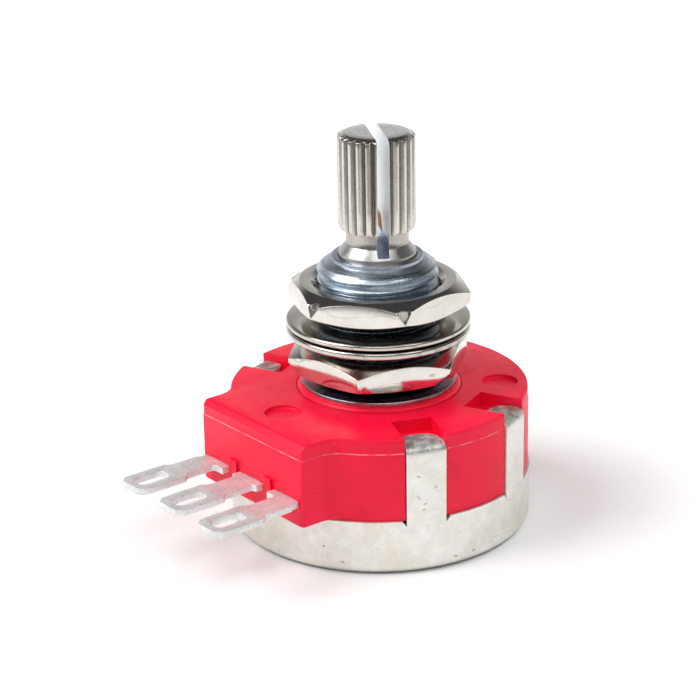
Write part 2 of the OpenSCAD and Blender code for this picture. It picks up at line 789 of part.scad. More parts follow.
module shaft() {
    groove_half = 180 / spline_n * spline_open;
    color("lightgray")
        rotate([0, 0, slot_turn])
            difference() {
                union() {
                    rotate_extrude()
                        polygon([[0, shaft_foot], [drive_r - foot_bevel, shaft_foot],
                            [drive_r, shaft_foot + foot_bevel], [drive_r, clip_z], [groove_r, clip_z],
                            [groove_r, boss_z + play], [0, boss_z + play]]);
                    translate([0, 0, boss_z]) double_d(drive_r, collar_z - boss_z + eps);
                    rotate_extrude()
                        polygon([[0, collar_z], [collar_r, collar_z], [collar_r, collar_top],
                            [shaft_r, collar_top], [shaft_r, cone_z], [neck_r, neck_z],
                            [neck_r, spline_z], [spline_r - spline_bevel, spline_z],
                            [spline_r, spline_z + spline_bevel], [spline_r, shaft_top - tip_bevel_h],
                            [spline_r - tip_bevel_w, shaft_top], [0, shaft_top]]);
                }
                for (i = [0:spline_n - 1])
                    rotate([0, 0, 360 / spline_n * i])
                        translate([0, 0, spline_z - 0.5])
                            linear_extrude(height = spline_h + 1)
                                polygon([[0, spline_depth - spline_r],
                                    at(spline_r / cos(groove_half), groove_half),
                                    [0, -spline_r - 1],
                                    at(spline_r / cos(groove_half), -groove_half)]);
                slab(slot_w, -spline_r - 1, spline_r + 1, bush_top + slot_floor, shaft_top);
            }
}

// Round bar of radius r with two flats
module double_d(r, h) {
    flat = r - drive_flat;
    intersection() {
        cylinder(r = r, h = h);
        translate([-r - 1, -flat, 0]) cube([2 * r + 2, 2 * flat, h]);
    }
}

module friction_washer() {
    color("goldenrod") ring(friction_z, friction_t, bore_r + press_gap, collar_r + friction_out);
}

module rotor() {
    lug_r = rotor_r + lug_out;
    stud_at = hub_r + wiper_ring / 2;
    color("darkslategray")
        rotate([0, 0, slot_turn])
            difference() {
                union() {
                    translate([0, 0, rotor_z]) cylinder(r = rotor_r, h = rotor_t);
                    translate([0, 0, rotor_top - eps]) cylinder(r = hub_r, h = hub_h + eps);
                    translate([0, 0, boss_z]) cylinder(r = hub_r, h = boss_h + eps);
                    translate([0, 0, rotor_z])
                        linear_extrude(height = rotor_t)
                            intersection() {
                                circle(r = lug_r);
                                polygon([[0, 0], at(lug_r + 1, 90 - lug_half),
                                    at(lug_r + 1, 90 + lug_half)]);
                            }
                    for (s = [-1, 1])
                        translate([0, s * stud_at, rotor_top - eps])
                            cylinder(d = stud_d, h = wiper_t + stud_head);
                }
                translate([0, 0, boss_z - 1])
                    double_d(drive_r + drive_gap, hub_top - boss_z + 2);
            }
}

// Length of the wiper's sheet, seen from the side, with its underside from [x0, z0] to [x1, z1]
module sheet(x0, z0, x1, z1) {
    polygon([[x0, z0], [x1, z1], [x1, z1 + wiper_t], [x0, z0 + wiper_t]]);
}

// Arm of the wiper that rises from its ring to the film at radius r
module arm(r) {
    foot = hub_r + wiper_ring;
    rise = r - contact_l / 2;
    contact_z = film_z - contact_gap - wiper_t;
    translate([0, arm_w / 2, 0])
        rotate([90, 0, 0])
            linear_extrude(height = arm_w) {
                sheet(foot - wiper_ring / 2, rotor_top, foot, rotor_top);
                sheet(foot, rotor_top, rise, contact_z);
                sheet(rise, contact_z, rise + contact_l, contact_z);
            }
}

module wiper() {
    foot = hub_r + wiper_ring;
    color("gold")
        rotate([0, 0, slot_turn])
            difference() {
                union() {
                    ring(rotor_top, wiper_t, hub_r + press_gap, foot);
                    arm(track_r);
                    rotate([0, 0, 180]) arm(collect_r);
                }
                translate([foot + slit_w, -slit_w / 2, rotor_top - 1]) cube([track_r, slit_w, hub_h + 2]);
                translate([-track_r - foot - slit_w, -slit_w / 2, rotor_top - 1])
                    cube([track_r, slit_w, hub_h + 2]);
                for (s = [-1, 1])
                    translate([0, s * (hub_r + wiper_ring / 2), rotor_top - 1])
                        cylinder(d = stud_d + 2 * press_gap, h = 2);
            }
}

module retaining_ring() {
    color("silver")
        rotate([0, 0, slot_turn])
            difference() {
                ring(clip_z + eps, clip_t, groove_r + press_gap, drive_r + clip_out);
                slab(clip_mouth, 0, 2 * drive_r, clip_z - 1, clip_t + 2);
            }
}

can();
housing();
terminal_base();
bushing();
backing_washer();
lower_nut();
lock_washer();
flat_washer();
upper_nut();
terminal_left();
terminal_wiper();
terminal_right();
rivet_left();
rivet_wiper();
rivet_right();
element_wafer();
resistive_track();
end_pad_left();
end_pad_right();
collector_ring();
thrust_pad();
shaft();
friction_washer();
rotor();
wiper();
retaining_ring();
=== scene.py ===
import json
import math

import bmesh
import bpy
from mathutils import Matrix, Vector
from mathutils.geometry import tessellate_polygon


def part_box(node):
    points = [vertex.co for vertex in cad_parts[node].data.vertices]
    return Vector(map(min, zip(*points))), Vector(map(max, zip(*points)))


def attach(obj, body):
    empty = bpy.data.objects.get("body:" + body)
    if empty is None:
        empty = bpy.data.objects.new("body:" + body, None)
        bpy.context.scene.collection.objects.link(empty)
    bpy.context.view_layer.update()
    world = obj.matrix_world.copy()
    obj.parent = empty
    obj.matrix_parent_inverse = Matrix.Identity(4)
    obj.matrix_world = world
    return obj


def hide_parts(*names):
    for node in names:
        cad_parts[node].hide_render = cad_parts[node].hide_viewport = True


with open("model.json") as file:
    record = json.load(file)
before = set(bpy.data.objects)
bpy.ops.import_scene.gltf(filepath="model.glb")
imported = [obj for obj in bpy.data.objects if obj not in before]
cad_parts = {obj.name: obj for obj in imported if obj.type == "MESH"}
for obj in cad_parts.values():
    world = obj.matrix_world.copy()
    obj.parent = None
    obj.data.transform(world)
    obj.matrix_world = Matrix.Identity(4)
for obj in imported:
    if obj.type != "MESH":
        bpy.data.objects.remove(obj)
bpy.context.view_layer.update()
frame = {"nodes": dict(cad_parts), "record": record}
MM = 0.001
TAU = 2 * math.pi

# Sizes in millimetres and turns in degrees, as in the part's source apart from fine detail such as the slot,
# the shoulder and the small edges

# Can
CAN_R, CAN_WALL, CAN_H, CAN_EDGE, SHEET_EDGE = 11.85, 0.45, 4.4, 0.9, 0.07
TAB_W, TAB_END, TAB_BEND, TAB_CORNERS = 3.1, 9.45, 0.25, (0.9, 1.45)
TAB_TURNS = (67.5, 112.5, -67.5, -112.5)
NICK_W, NICK_H = 0.32, 0.45
# Housing
BODY_R, BLOCK_X, BLOCK_Y, BLOCK_Z, BLOCK_FILLET = 11.7, 6.3, 12.6, 4.5, 2.0
BLOCK_CORNER, BLOCK_BEVEL, TOP_EDGE = 0.25, 0.41, 0.13
BAND_Z, BAND_STEP = 9.82, 0.06
NOTCH_Z, NOTCH_BACK, NOTCH_FRONT, NOTCH_W = 9.91, 8.06, 11.2, 3.2
TOP_Z, RING_TOP, RING_R, RING_FILLET, RING_BORE = 10.98, 11.3, 6.15, 0.3, 4.3
INSERT_W, INSERT_TOP = 11.95, 7.268
DIMPLE_R, DIMPLE_DEPTH, DIMPLE_AT, DIMPLE_TURNS = 1.425, 0.25, 9.45, (0, 140, -140)
# Bushing
THREAD_R, THREAD_ROOT, PITCH, THREAD_START, RUN_OUT = 4.7, 4.24, 0.794, 11.22, 20.62
FLANGE_R, FLANGE_TOP, BUSH_TOP, BORE_R = 6.09, 11.65, 21.65, 3.03
NOSE_R, NOSE_H, LAND_TOP, SHOULDER_POWER = 3.54, 0.35, 20.55, 1.4
# Nuts and washers
NUT_FLAT, NUT_H, NUT_BORE, NUT_SINK = 6.35, 2.1, 4.75, 0.5
NUT_FACE, NUT_TOP_SLOPE, NUT_CORNER = 6.05, 30, 0.22
WASHER_R, WASHER_BORE = 7.17, THREAD_R + 0.15
LOCK_Z, LOCK_T, LOCK_RIM, LOCK_TEETH, TOOTH_TWIST = 15.755, 0.55, 5.77, 10, 20
TOOTH_W, TOOTH_L, TOOTH_T = 1.2, 1.25, 0.5
# Shaft
SHAFT_TOP, SPLINE_LOW, NECK_LOW, CONE_LOW, LOWER_TOP = 31.24, 23.73, 22.61, 21.91, 20.95
SPLINES, SPLINE_ROOT, SPLINE_CREST, SPLINE_TURN, CREST_SHARE = 24, 2.675, 2.975, 60, 0.68
JOURNAL_R, NECK_R, SHAFT_FOOT_R = 3.0, 2.44, 2.4
SLOT_W, SLOT_TURN, SLOT_FLOOR = 0.92, 60.5, 22.07
# Terminals
TERM_Z, TERM_T = 6.02, 0.5


def shade(color, share):
    """The colour times a share."""
    return tuple(c * share for c in color)


# Mesh helpers

def at(radius, turn, z=0.0):
    """Point at a distance from the axis, turned from -Y towards +X."""
    a = math.radians(turn)
    return Vector((radius * math.sin(a), -radius * math.cos(a), z))


def new_object(name, data):
    """Object with this data, put in the scene."""
    obj = bpy.data.objects.new(name, data)
    bpy.context.scene.collection.objects.link(obj)
    return obj


def add_piece(name, mesh, mat, body, node, sharp=32):
    """Put a visible piece on its body in place of its CAD node."""
    mesh.shade_smooth()
    mesh.set_sharp_from_angle(angle=math.radians(sharp))
    obj = new_object(name, mesh)
    mesh.materials.append(mat)
    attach(obj, body)
    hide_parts(node)
    return obj


def to_mesh(bm, name):
    """New mesh with what the bmesh holds."""
    mesh = bpy.data.meshes.new(name)
    bm.to_mesh(mesh)
    bm.free()
    return mesh


def mesh_from(name, points, faces):
    """Mesh from points in millimetres, with doubled points and flat faces taken out."""
    bm = bmesh.new()
    verts = [bm.verts.new((x * MM, y * MM, z * MM)) for x, y, z in points]
    for face in faces:
        if len(set(face)) > 2:
            bm.faces.new([verts[i] for i in dict.fromkeys(face)])
    bmesh.ops.remove_doubles(bm, verts=bm.verts, dist=2e-7)
    bmesh.ops.dissolve_degenerate(bm, edges=bm.edges, dist=1e-7)
    bmesh.ops.recalc_face_normals(bm, faces=bm.faces)
    return to_mesh(bm, name)


def joined(name, meshes):
    """The meshes as one."""
    bm = bmesh.new()
    for mesh in meshes:
        bm.from_mesh(mesh)
    return to_mesh(bm, name)


def arc(x, y, radius, start, end, steps):
    """Points on an arc round (x, y), between two angles in radians."""
    angles = [start + (end - start) * k / steps for k in range(steps + 1)]
    return [(x + radius * math.cos(t), y + radius * math.sin(t)) for t in angles]


def rounded(points, radii, steps=4):
    """The closed outline with each corner rounded; radii is one number or one for each corner."""
    if not isinstance(radii, (list, tuple)):
        radii = [radii] * len(points)
    out = []
    for i, p in enumerate(points):
        p = Vector(p)
        if radii[i] <= 0:
            out.append(tuple(p))
            continue
        a = Vector(points[i - 1]) - p
        b = Vector(points[(i + 1) % len(points)]) - p
        la, lb = a.length, b.length
        a, b = a / la, b / lb
        half = a.angle(b) / 2
        cut = min(radii[i] / math.tan(half), la * 0.49, lb * 0.49)
        r = cut * math.tan(half)
        centre = p + (a + b).normalized() * math.hypot(cut, r)
        start, end = p + a * cut - centre, p + b * cut - centre
        first = math.atan2(start.y, start.x)
        turn = (math.atan2(end.y, end.x) - first + math.pi) % TAU - math.pi
        out += arc(centre.x, centre.y, r, first, first + turn, steps)
    return out


def grid_faces(columns, rows, closed=True):
    """Faces between columns of points, the last column joined to the first."""
    faces = []
    for i in range(columns):
        a, b = i * rows, (i + 1) % columns * rows
        for j in range(rows if closed else rows - 1):
            k = (j + 1) % rows
            faces.append((a + j, b + j, b + k, a + k))
    return faces


def revolve(name, profile, columns=192):
    """Turned body from a closed profile of (radius, height) points."""
    points = []
    for i in range(columns):
        c, s = math.cos(TAU * i / columns), math.sin(TAU * i / columns)
        points += [(r * c, r * s, z) for r, z in profile]
    return mesh_from(name, points, grid_faces(columns, len(profile)))


def inset_loop(line, depth):
    """The loop moved to its left by depth: into the sheet for the outside and for reversed holes."""
    out = []
    for i, p in enumerate(line):
        a = (Vector(p) - Vector(line[i - 1])).normalized()
        b = (Vector(line[(i + 1) % len(line)]) - Vector(p)).normalized()
        way = Vector((-a.y - b.y, a.x + b.x))
        way = way.normalized() / max(0.5, math.sqrt(max(0.0, (1 + a.dot(b)) / 2)))
        out.append((p[0] + way.x * depth, p[1] + way.y * depth))
    return out


def plate(name, outlines, z, thick, edge=0.04):
    """Flat sheet with rounded edges; the first loop is the outside, the others are holes."""
    levels = []
    for k in range(4):
        t = math.pi / 2 * k / 3
        levels.append((edge * (1 - math.sin(t)), z + edge * (1 - math.cos(t))))
    levels += [(inset, 2 * z + thick - height) for inset, height in reversed(levels)]
    points, faces, caps = [], [], ([], [])
    for index, line in enumerate(outlines):
        area = sum(line[i - 1][0] * line[i][1] - line[i][0] * line[i - 1][1] for i in range(len(line)))
        if (area > 0) != (index == 0):
            line = line[::-1]
        n, base = len(line), len(points)
        for inset, height in levels:
            points += [(x, y, height) for x, y in inset_loop(line, inset)]
        for j in range(len(levels) - 1):
            low, high = base + j * n, base + (j + 1) * n
            for i in range(n):
                k = (i + 1) % n
                faces.append((low + i, low + k, high + k, high + i))
        caps[0].append([base + i for i in range(n)])
        caps[1].append([base + (len(levels) - 1) * n + i for i in range(n)])
    for loops in caps:
        flat = [i for loop in loops for i in loop]
        for tri in tessellate_polygon([[Vector(points[i]) for i in loop] for loop in loops]):
            faces.append(tuple(flat[i] for i in tri))
    return mesh_from(name, points, faces)


def solid_box(size, low, turn=0.0):
    """Box in millimetres with its low corner at low, then turned round the axis."""
    bm = bmesh.new()
    bmesh.ops.create_cube(bm, size=1)
    for v in bm.verts:
        v.co = Vector([(low[i] + (v.co[i] + 0.5) * size[i]) * MM for i in range(3)])
    bmesh.ops.rotate(bm, verts=bm.verts, matrix=Matrix.Rotation(math.radians(turn), 3, "Z"))
    return to_mesh(bm, "box")


def carved(mesh, cutters, how="DIFFERENCE"):
    """The mesh after a boolean with each cutter."""
    obj = new_object("work", mesh)
    tools = []
    for cutter in cutters:
        tools.append(new_object("tool", cutter))
        mod = obj.modifiers.new("cut", "BOOLEAN")
        mod.operation = how
        mod.solver = "EXACT"
        mod.object = tools[-1]
    graph = bpy.context.evaluated_depsgraph_get()
    result = bpy.data.meshes.new_from_object(obj.evaluated_get(graph))
    for used in [obj] + tools:
        bpy.data.objects.remove(used)
    return result


# Materials

class Nodes:
    """Short way to build the nodes of a material or of the world."""

    def __init__(self, owner, shader="Principled BSDF", coord="Object"):
        owner.use_nodes = True
        self.owner = owner
        self.tree = owner.node_tree
        self.shader = self.tree.nodes[shader]
        self.coord = self.add("ShaderNodeTexCoord").outputs[coord]

    def add(self, kind, **values):
        node = self.tree.nodes.new(kind)
        for key, value in values.items():
            setattr(node, key, value)
        return node

    def link(self, source, target):
        """Give an input a number, a colour or another node's output."""
        if isinstance(source, (int, float)):
            target.default_value = source
        elif isinstance(source, tuple):
            alpha = len(source) == 3 and len(target.default_value) == 4
            target.default_value = (*source, 1.0) if alpha else source
        else:
            self.tree.links.new(source, target)

    def math(self, op, a, b=0.0):
        node = self.add("ShaderNodeMath", operation=op)
        self.link(a, node.inputs[0])
        self.link(b, node.inputs[1])
        return node.outputs[0]

    def plus(self, a, b):
        return self.math("ADD", a, b)

    def minus(self, a, b):
        return self.math("SUBTRACT", a, b)

    def times(self, value, *others):
        for other in others:
            value = self.math("MULTIPLY", value, other)
        return value

    def ramp(self, value, low, high, out_low=0.0, out_high=1.0):
        """Soft step from out_low to out_high while value goes from low to high."""
        node = self.add("ShaderNodeMapRange", interpolation_type="SMOOTHSTEP")
        for i, v in enumerate((value, low, high, out_low, out_high)):
            self.link(v, node.inputs[i])
        return node.outputs[0]

    def mix(self, factor, a, b):
        node = self.add("ShaderNodeMix", data_type="RGBA")
        self.link(factor, node.inputs["Factor"])
        self.link(a, node.inputs["A"])
        self.link(b, node.inputs["B"])
        return node.outputs["Result"]

    def stretch(self, scale, turn=0.0):
        """The coordinates scaled, for noise that is drawn out along one way."""
        node = self.add("ShaderNodeMapping")
        node.inputs["Scale"].default_value = scale
        node.inputs["Rotation"].default_value = (0, 0, math.radians(turn))
        self.link(self.coord, node.inputs["Vector"])
        return node.outputs[0]

    def noise(self, size, detail=3.0, rough=0.55, seed=0.0, vector=None):
        """Noise whose features are about size millimetres."""
        node = self.add("ShaderNodeTexNoise", noise_dimensions="4D")
        self.link(vector or self.coord, node.inputs["Vector"])
        node.inputs["Scale"].default_value = 1 / (size * MM)
        node.inputs["Detail"].default_value = detail
        node.inputs["Roughness"].default_value = rough
        node.inputs["W"].default_value = seed
        return node.outputs["Fac"]

    def specks(self, size, share, seed):
        """Small separate spots: 1 in a spot, 0 elsewhere."""
        cell = self.add("ShaderNodeTexVoronoi", voronoi_dimensions="4D")
        self.link(self.coord, cell.inputs["Vector"])
        cell.inputs["Scale"].default_value = 1 / (size * MM)
        cell.inputs["W"].default_value = seed
        pick = self.noise(size * 3, 1.0, 0.5, seed + 7)
        return self.times(self.ramp(cell.outputs["Distance"], 0.18, 0.08),
                          self.ramp(pick, 1 - share, 1 - share + 0.05))

    def patch(self, centre, half, turn=0.0, tilt=0.0):
        """1 in a small rounded patch, 0 elsewhere; centre and half sizes in millimetres."""
        node = self.add("ShaderNodeMapping", vector_type="TEXTURE")
        node.inputs["Location"].default_value = [c * MM for c in centre]
        node.inputs["Scale"].default_value = [h * MM for h in half]
        node.inputs["Rotation"].default_value = (0, math.radians(tilt), math.radians(turn))
        self.link(self.coord, node.inputs["Vector"])
        length = self.add("ShaderNodeVectorMath", operation="LENGTH")
        self.link(node.outputs[0], length.inputs[0])
        return self.ramp(length.outputs["Value"], 1.0, 0.6)

    def split(self, vector):
        """The three parts of a vector."""
        node = self.add("ShaderNodeSeparateXYZ")
        self.link(vector, node.inputs[0])
        return node.outputs

    def xyz(self):
        """The coordinates in millimetres."""
        return [self.math("DIVIDE", part, MM) for part in self.split(self.coord)]

    def radius(self):
        """Distance from the axis in millimetres."""
        x, y, _ = self.xyz()
        return self.math("SQRT", self.plus(self.times(x, x), self.times(y, y)))

    def along(self, x, y, way):
        """How far (x, y) lies along a way."""
        return self.plus(self.times(x, way[0]), self.times(y, way[1]))

    def up(self):
        """How far the surface faces upwards."""
        return self.split(self.add("ShaderNodeNewGeometry").outputs["True Normal"])["Z"]

    def finish(self, color, rough, metal, bump, bump_mm, edge_mm=0.0):
        """Link the Principled shader; edge_mm softens the look of sharp edges."""
        self.link(color, self.shader.inputs["Base Color"])
        self.link(rough, self.shader.inputs["Roughness"])
        self.link(metal, self.shader.inputs["Metallic"])
        relief = self.add("ShaderNodeBump")
        relief.inputs["Distance"].default_value = bump_mm * MM
        relief.inputs["Strength"].default_value = 1.0
        self.link(bump, relief.inputs["Height"])
        if edge_mm:
            edge = self.add("ShaderNodeBevel", samples=6)
            edge.inputs["Radius"].default_value = edge_mm * MM
            self.link(edge.outputs[0], relief.inputs["Normal"])
        self.link(relief.outputs[0], self.shader.inputs["Normal"])
        return self.owner


def material(name):
    """Nodes of a new material."""
    return Nodes(bpy.data.materials.new(name))


def red_plastic(name):
    """Satin moulded red with smudges, dust, fine scratches and a painted highlight, broken by noise, along the
    band step.
    """
    n = material(name)
    z = n.xyz()[2]
    color = n.mix(n.ramp(n.noise(5, 4), 0.35, 0.7), (0.88, 0.002, 0.034), (0.93, 0.004, 0.046))
    smudge = n.ramp(n.noise(2.2, 3, 0.6, 21), 0.55, 0.72)
    color = n.mix(n.times(smudge, 0.35), color, (0.60, 0.004, 0.028))
    # Painted highlight: a pale line along the band step, broken by noise
    band_step_highlight = n.times(n.ramp(z, BAND_Z - 0.03, BAND_Z - 0.01), n.ramp(z, BAND_Z + 0.04, BAND_Z + 0.02))
    broken = n.ramp(n.noise(1.2, 3, 0.6, 31), 0.4, 0.55, 0.25, 0.85)
    color = n.mix(n.times(band_step_highlight, broken), color, (0.95, 0.36, 0.38))
    color = n.mix(n.times(n.specks(0.5, 0.42, 3), 0.35), color, (0.9, 0.55, 0.55))
    scratch = n.ramp(n.noise(0.35, 2, 0.6, 4, n.stretch((1, 0.06, 1), 35)), 0.72, 0.78)
    region = n.ramp(n.noise(2.5, 1, 0.5, 9), 0.5, 0.62)
    color = n.mix(n.times(scratch, region, 0.2), color, (0.85, 0.3, 0.33))
    rough = n.ramp(n.noise(0.8, 4, 0.6, 2), 0.3, 0.7, 0.34, 0.44)
    grain = n.plus(n.noise(0.12, 3, 0.6), n.times(n.noise(1.5, 2), 1.5))
    n.link(1.5, n.shader.inputs["IOR"])
    n.link(0.28, n.shader.inputs["Specular IOR Level"])
    return n.finish(color, rough, 0.0, grain, 0.006, 0.06)


def tin(name, base, stain, rough, metal, grain, edge_mm, spots, mark, dashes=(), pitted=0.0):
    """Tin plate: clouds, specks, scratches, a darker foot and tarnish on the bent tops of the tabs."""
    n = material(name)
    z = n.xyz()[2]
    dark = shade(base, 0.3)
    color = n.mix(n.ramp(n.noise(3.0, 4, 0.6), 0.42, 0.72), base, stain)
    color = n.mix(n.ramp(n.noise(0.9, 5, 0.7, 11), 0.35, 0.7, 0.0, grain), color, shade(base, 0.74))
    color = n.mix(n.times(n.specks(0.36, spots, 5), 0.7), color, dark)
    for turn, height, length, width, tilt in dashes:
        dash = n.patch(at(CAN_R, turn, height), (length / 2, 0.4, width / 2), turn, tilt)
        color = n.mix(n.times(dash, 0.75), color, dark)
    scratch = n.ramp(n.noise(0.35, 2, 0.6, 2, n.stretch((0.12, 0.12, 1))), 0.66, 0.72)
    region = n.ramp(n.noise(2, 1, 0.5, 6), 0.5, 0.62)
    color = n.mix(n.times(scratch, region, mark), color, dark)
    fine = n.noise(0.16, 4, 0.7, 3)
    color = n.mix(n.ramp(fine, 0.5, 0.75, 0.0, grain), color, shade(base, 0.6))
    if pitted:
        pit = n.noise(0.2, 4, 0.7, 15)
        color = n.mix(n.ramp(pit, 0.52, 0.68, 0.0, pitted), color, shade(base, 0.4))
        color = n.mix(n.ramp(pit, 0.44, 0.34, 0.0, pitted), color, (0.97, 0.97, 0.97))
    color = n.mix(n.ramp(z, 0.55, 0.05, 0.0, 0.55), color, shade(stain, 0.4))
    tarnish = n.times(n.ramp(z, 9.75, 9.95), n.ramp(n.noise(0.7, 4, 0.65, 27), 0.4, 0.6))
    color = n.mix(n.times(tarnish, 0.75), color, dark)
    rough = n.ramp(n.noise(0.5, 4, 0.6, 8), 0.3, 0.7, *rough)
    return n.finish(color, rough, metal, n.plus(n.times(fine, 0.6), n.noise(1.6, 2)), 0.02, edge_mm)


def nickel(name, base, top_rough, side_rough, spots=()):
    """Nickel plate with painted shade near the bore and on faces that look up, and thin curved lines; spots are
    (centre, half sizes, shade).
    """
    n = material(name)
    top = n.ramp(n.up(), 0.9, 0.97)
    color = n.mix(n.ramp(n.noise(2.0, 3), 0.35, 0.7), base, shade(base, 0.9))
    # Painted shade: faces that look up are darkened
    color = n.mix(n.times(top, 0.2), color, shade(base, 0.8))
    color = n.mix(n.times(n.specks(0.35, 0.35, 2), 0.5), color, shade(base, 0.4))
    # Painted shade near the bore and the countersink
    color = n.mix(n.ramp(n.radius(), 5.35, 5.15, 0.0, 0.7), color, shade(base, 0.25))
    contour = n.minus(n.noise(2.4, 2, 0.5, 41, n.stretch((0.45, 0.45, 1.5))), 0.5)
    line = n.times(n.ramp(n.math("ABSOLUTE", contour), 0.012, 0.004),
                   n.ramp(n.noise(2.5, 1, 0.5, 43), 0.36, 0.46), n.ramp(n.up(), 0.35, 0.2))
    color = n.mix(n.times(line, 0.5), color, shade(base, 0.3))
    rough = n.plus(n.times(top, top_rough - side_rough),
                   n.ramp(n.noise(0.2, 3, 0.6, 1), 0.3, 0.7, side_rough - 0.03, side_rough + 0.04))
    for centre, half, tone in spots:
        spot = n.patch(centre, half)
        torn = n.times(spot, n.ramp(n.noise(0.25, 4, 0.7, 23), 0.3, 0.6, 0.6, 1.0))
        color = n.mix(torn, color, shade(base, tone))
        rough = n.plus(rough, n.times(spot, 0.3))
    return n.finish(color, rough, 1.0, n.noise(0.9, 3), 0.006)


def zinc(name):
    """Bluish zinc plate with rings and flecks, painted shade from the upper nut down, and a flange with a painted
    dark band over a painted highlight at its foot.
    """
    n = material(name)
    z = n.xyz()[2]
    around = n.stretch((0.12, 0.12, 1))
    color = n.mix(n.ramp(n.noise(0.5, 3, 0.6, 0, around), 0.35, 0.7), (0.45, 0.55, 0.65), (0.78, 0.83, 0.86))
    color = n.mix(n.times(n.specks(0.3, 0.4, 4), 0.45), color, (0.12, 0.14, 0.18))
    # Painted shade: the thread is darkened from under the upper nut down
    color = n.mix(n.ramp(z, 17.9, 17.3), color, (0.05, 0.05, 0.06))
    flange = n.ramp(n.radius(), 5.0, 5.4)
    # Painted shade: a dark band on the flange's side above its foot
    color = n.mix(n.times(flange, n.ramp(z, 11.38, 11.42)), color, (0.42, 0.38, 0.42))
    # Painted highlight: a bright line at the flange's foot
    color = n.mix(n.times(flange, n.ramp(z, 11.40, 11.36)), color, (0.92, 0.86, 0.85))
    color = n.mix(n.times(n.ramp(z, 21.2, 21.5), 0.6), color, (0.40, 0.37, 0.42))
    fleck = n.noise(0.11, 3, 0.7, 9)
    color = n.mix(n.ramp(fleck, 0.52, 0.66, 0.0, 0.75), color, (0.14, 0.19, 0.26))
    color = n.mix(n.ramp(fleck, 0.46, 0.34, 0.0, 0.6), color, (0.85, 0.9, 0.94))
    ring = n.noise(0.14, 2, 0.6, 12, n.stretch((0.03, 0.03, 1)))
    color = n.mix(n.ramp(ring, 0.5, 0.62, 0.0, 0.75), color, (0.2, 0.26, 0.34))
    rough = n.ramp(n.noise(0.4, 4, 0.6, 0, around), 0.3, 0.7, 0.24, 0.38)
    return n.finish(color, rough, 1.0, n.plus(n.times(ring, 1.5), n.times(fleck, 0.8)), 0.018, 0.03)


def shaft_metal(name):
    """Steel with painted shade in the grooves and the neck and painted highlights on the crests and on faces that
    look up; the slot has frosted walls, a blue floor and rust.
    """
    n = material(name)
    x, y, z = n.xyz()
    turn = math.radians(SLOT_TURN)
    across = n.math("ABSOLUTE", n.along(x, y, (math.cos(turn), math.sin(turn))))
    along = n.along(x, y, (math.sin(turn), -math.cos(turn)))
    in_slot = n.times(n.ramp(across, SLOT_W / 2 + 0.018, SLOT_W / 2 + 0.008),
                      n.ramp(z, SLOT_FLOOR - 0.07, SLOT_FLOOR - 0.01))
    r = n.radius()
    splined = n.ramp(z, 23.6, 23.7)
    color = n.mix(n.ramp(n.noise(1.2, 4), 0.35, 0.7), (0.52, 0.485, 0.435), (0.64, 0.605, 0.55))
    # Painted shade in the spline grooves
    groove = n.times(n.ramp(r, 2.86, 2.72), splined)
    color = n.mix(n.times(groove, 0.8), color, (0.20, 0.175, 0.145))
    # Painted shade on the neck under the splines
    neck = n.times(n.ramp(z, 23.75, 23.65), n.ramp(r, 2.6, 2.5))
    color = n.mix(n.times(neck, 0.55), color, (0.30, 0.285, 0.27))
    # Painted highlight on the spline crests and on faces that look up
    crest = n.times(n.ramp(r, 2.90, 2.955), splined)
    bright = n.math("MAXIMUM", n.times(crest, 0.7), n.ramp(n.up(), 0.2, 0.9))
    color = n.mix(bright, color, (0.62, 0.605, 0.58))
    pits = n.noise(0.16, 4, 0.7, 3)
    color = n.mix(n.ramp(pits, 0.54, 0.70, 0.0, 0.45), color, (0.26, 0.23, 0.2))
    color = n.mix(in_slot, color, (0.54, 0.61, 0.74))
    frost = n.mix(n.ramp(n.noise(0.2, 4, 0.7, 5), 0.35, 0.65), (0.84, 0.87, 0.89), (0.98, 0.99, 1.0))
    color = n.mix(n.times(in_slot, n.ramp(z, 23.1, 23.45)), color, frost)
    slope = n.plus(along, n.times(n.minus(z, 23.2), 0.6))
    rust = n.times(n.ramp(z, 24.7, 24.2), n.ramp(slope, 0.05, -0.4), in_slot, n.ramp(z, 23.05, 23.3))
    color = n.mix(n.times(rust, 0.8), color, (0.30, 0.165, 0.08))
    grazing = n.mix(n.times(rust, 0.9), (1.0, 1.0, 1.0), (0.42, 0.26, 0.14))
    n.link(grazing, n.shader.inputs["Specular Tint"])
    cone = n.times(n.ramp(z, 22.75, 22.55), n.minus(1.0, in_slot))
    color = n.mix(n.times(cone, 0.7), color, (0.50, 0.495, 0.50))
    rough = n.ramp(n.noise(0.3, 4, 0.6, 7), 0.3, 0.7, 0.15, 0.27)
    rough = n.plus(n.plus(rough, n.times(in_slot, 0.2)), n.times(cone, 0.12))
    return n.finish(color, rough, 1.0, pits, 0.008, 0.035)


def plain(name, low, high, rough, metal, cloud, grain):
    """Simple material for the pieces that the outside hides."""
    n = material(name)
    color = n.mix(n.ramp(n.noise(*cloud), 0.35, 0.7), low, high)
    rough = n.ramp(n.noise(0.4, 3, 0.6, 2), 0.3, 0.7, rough - 0.05, rough + 0.08)
    return n.finish(color, rough, metal, n.noise(grain, 3), 0.004, 0.03)


def plain_metal(name, base, rough):
    return plain(name, base, shade(base, 0.85), rough, 1.0, (1.0, 3), 0.4)


def plain_plastic(name, low, high, rough):
    return plain(name, low, high, rough, 0.0, (0.6, 4), 0.15)


# Short dark marks on the can: turn, height, length, width, tilt
CAN_MARKS = ((64.4, 7.96, 0.5, 0.12, 20), (70.8, 6.95, 0.45, 0.14, -30), (64.4, 6.25, 0.6, 0.1, 50),
             (66.8, 5.70, 0.4, 0.14, 0), (66.4, 5.22, 0.35, 0.16, -20), (78.8, 0.92, 0.5, 0.2, 10),
             (86.8, 0.97, 0.4, 0.2, -10), (29.2, 2.17, 0.3, 0.2, 0), (36.4, 1.04, 0.35, 0.2, 15))
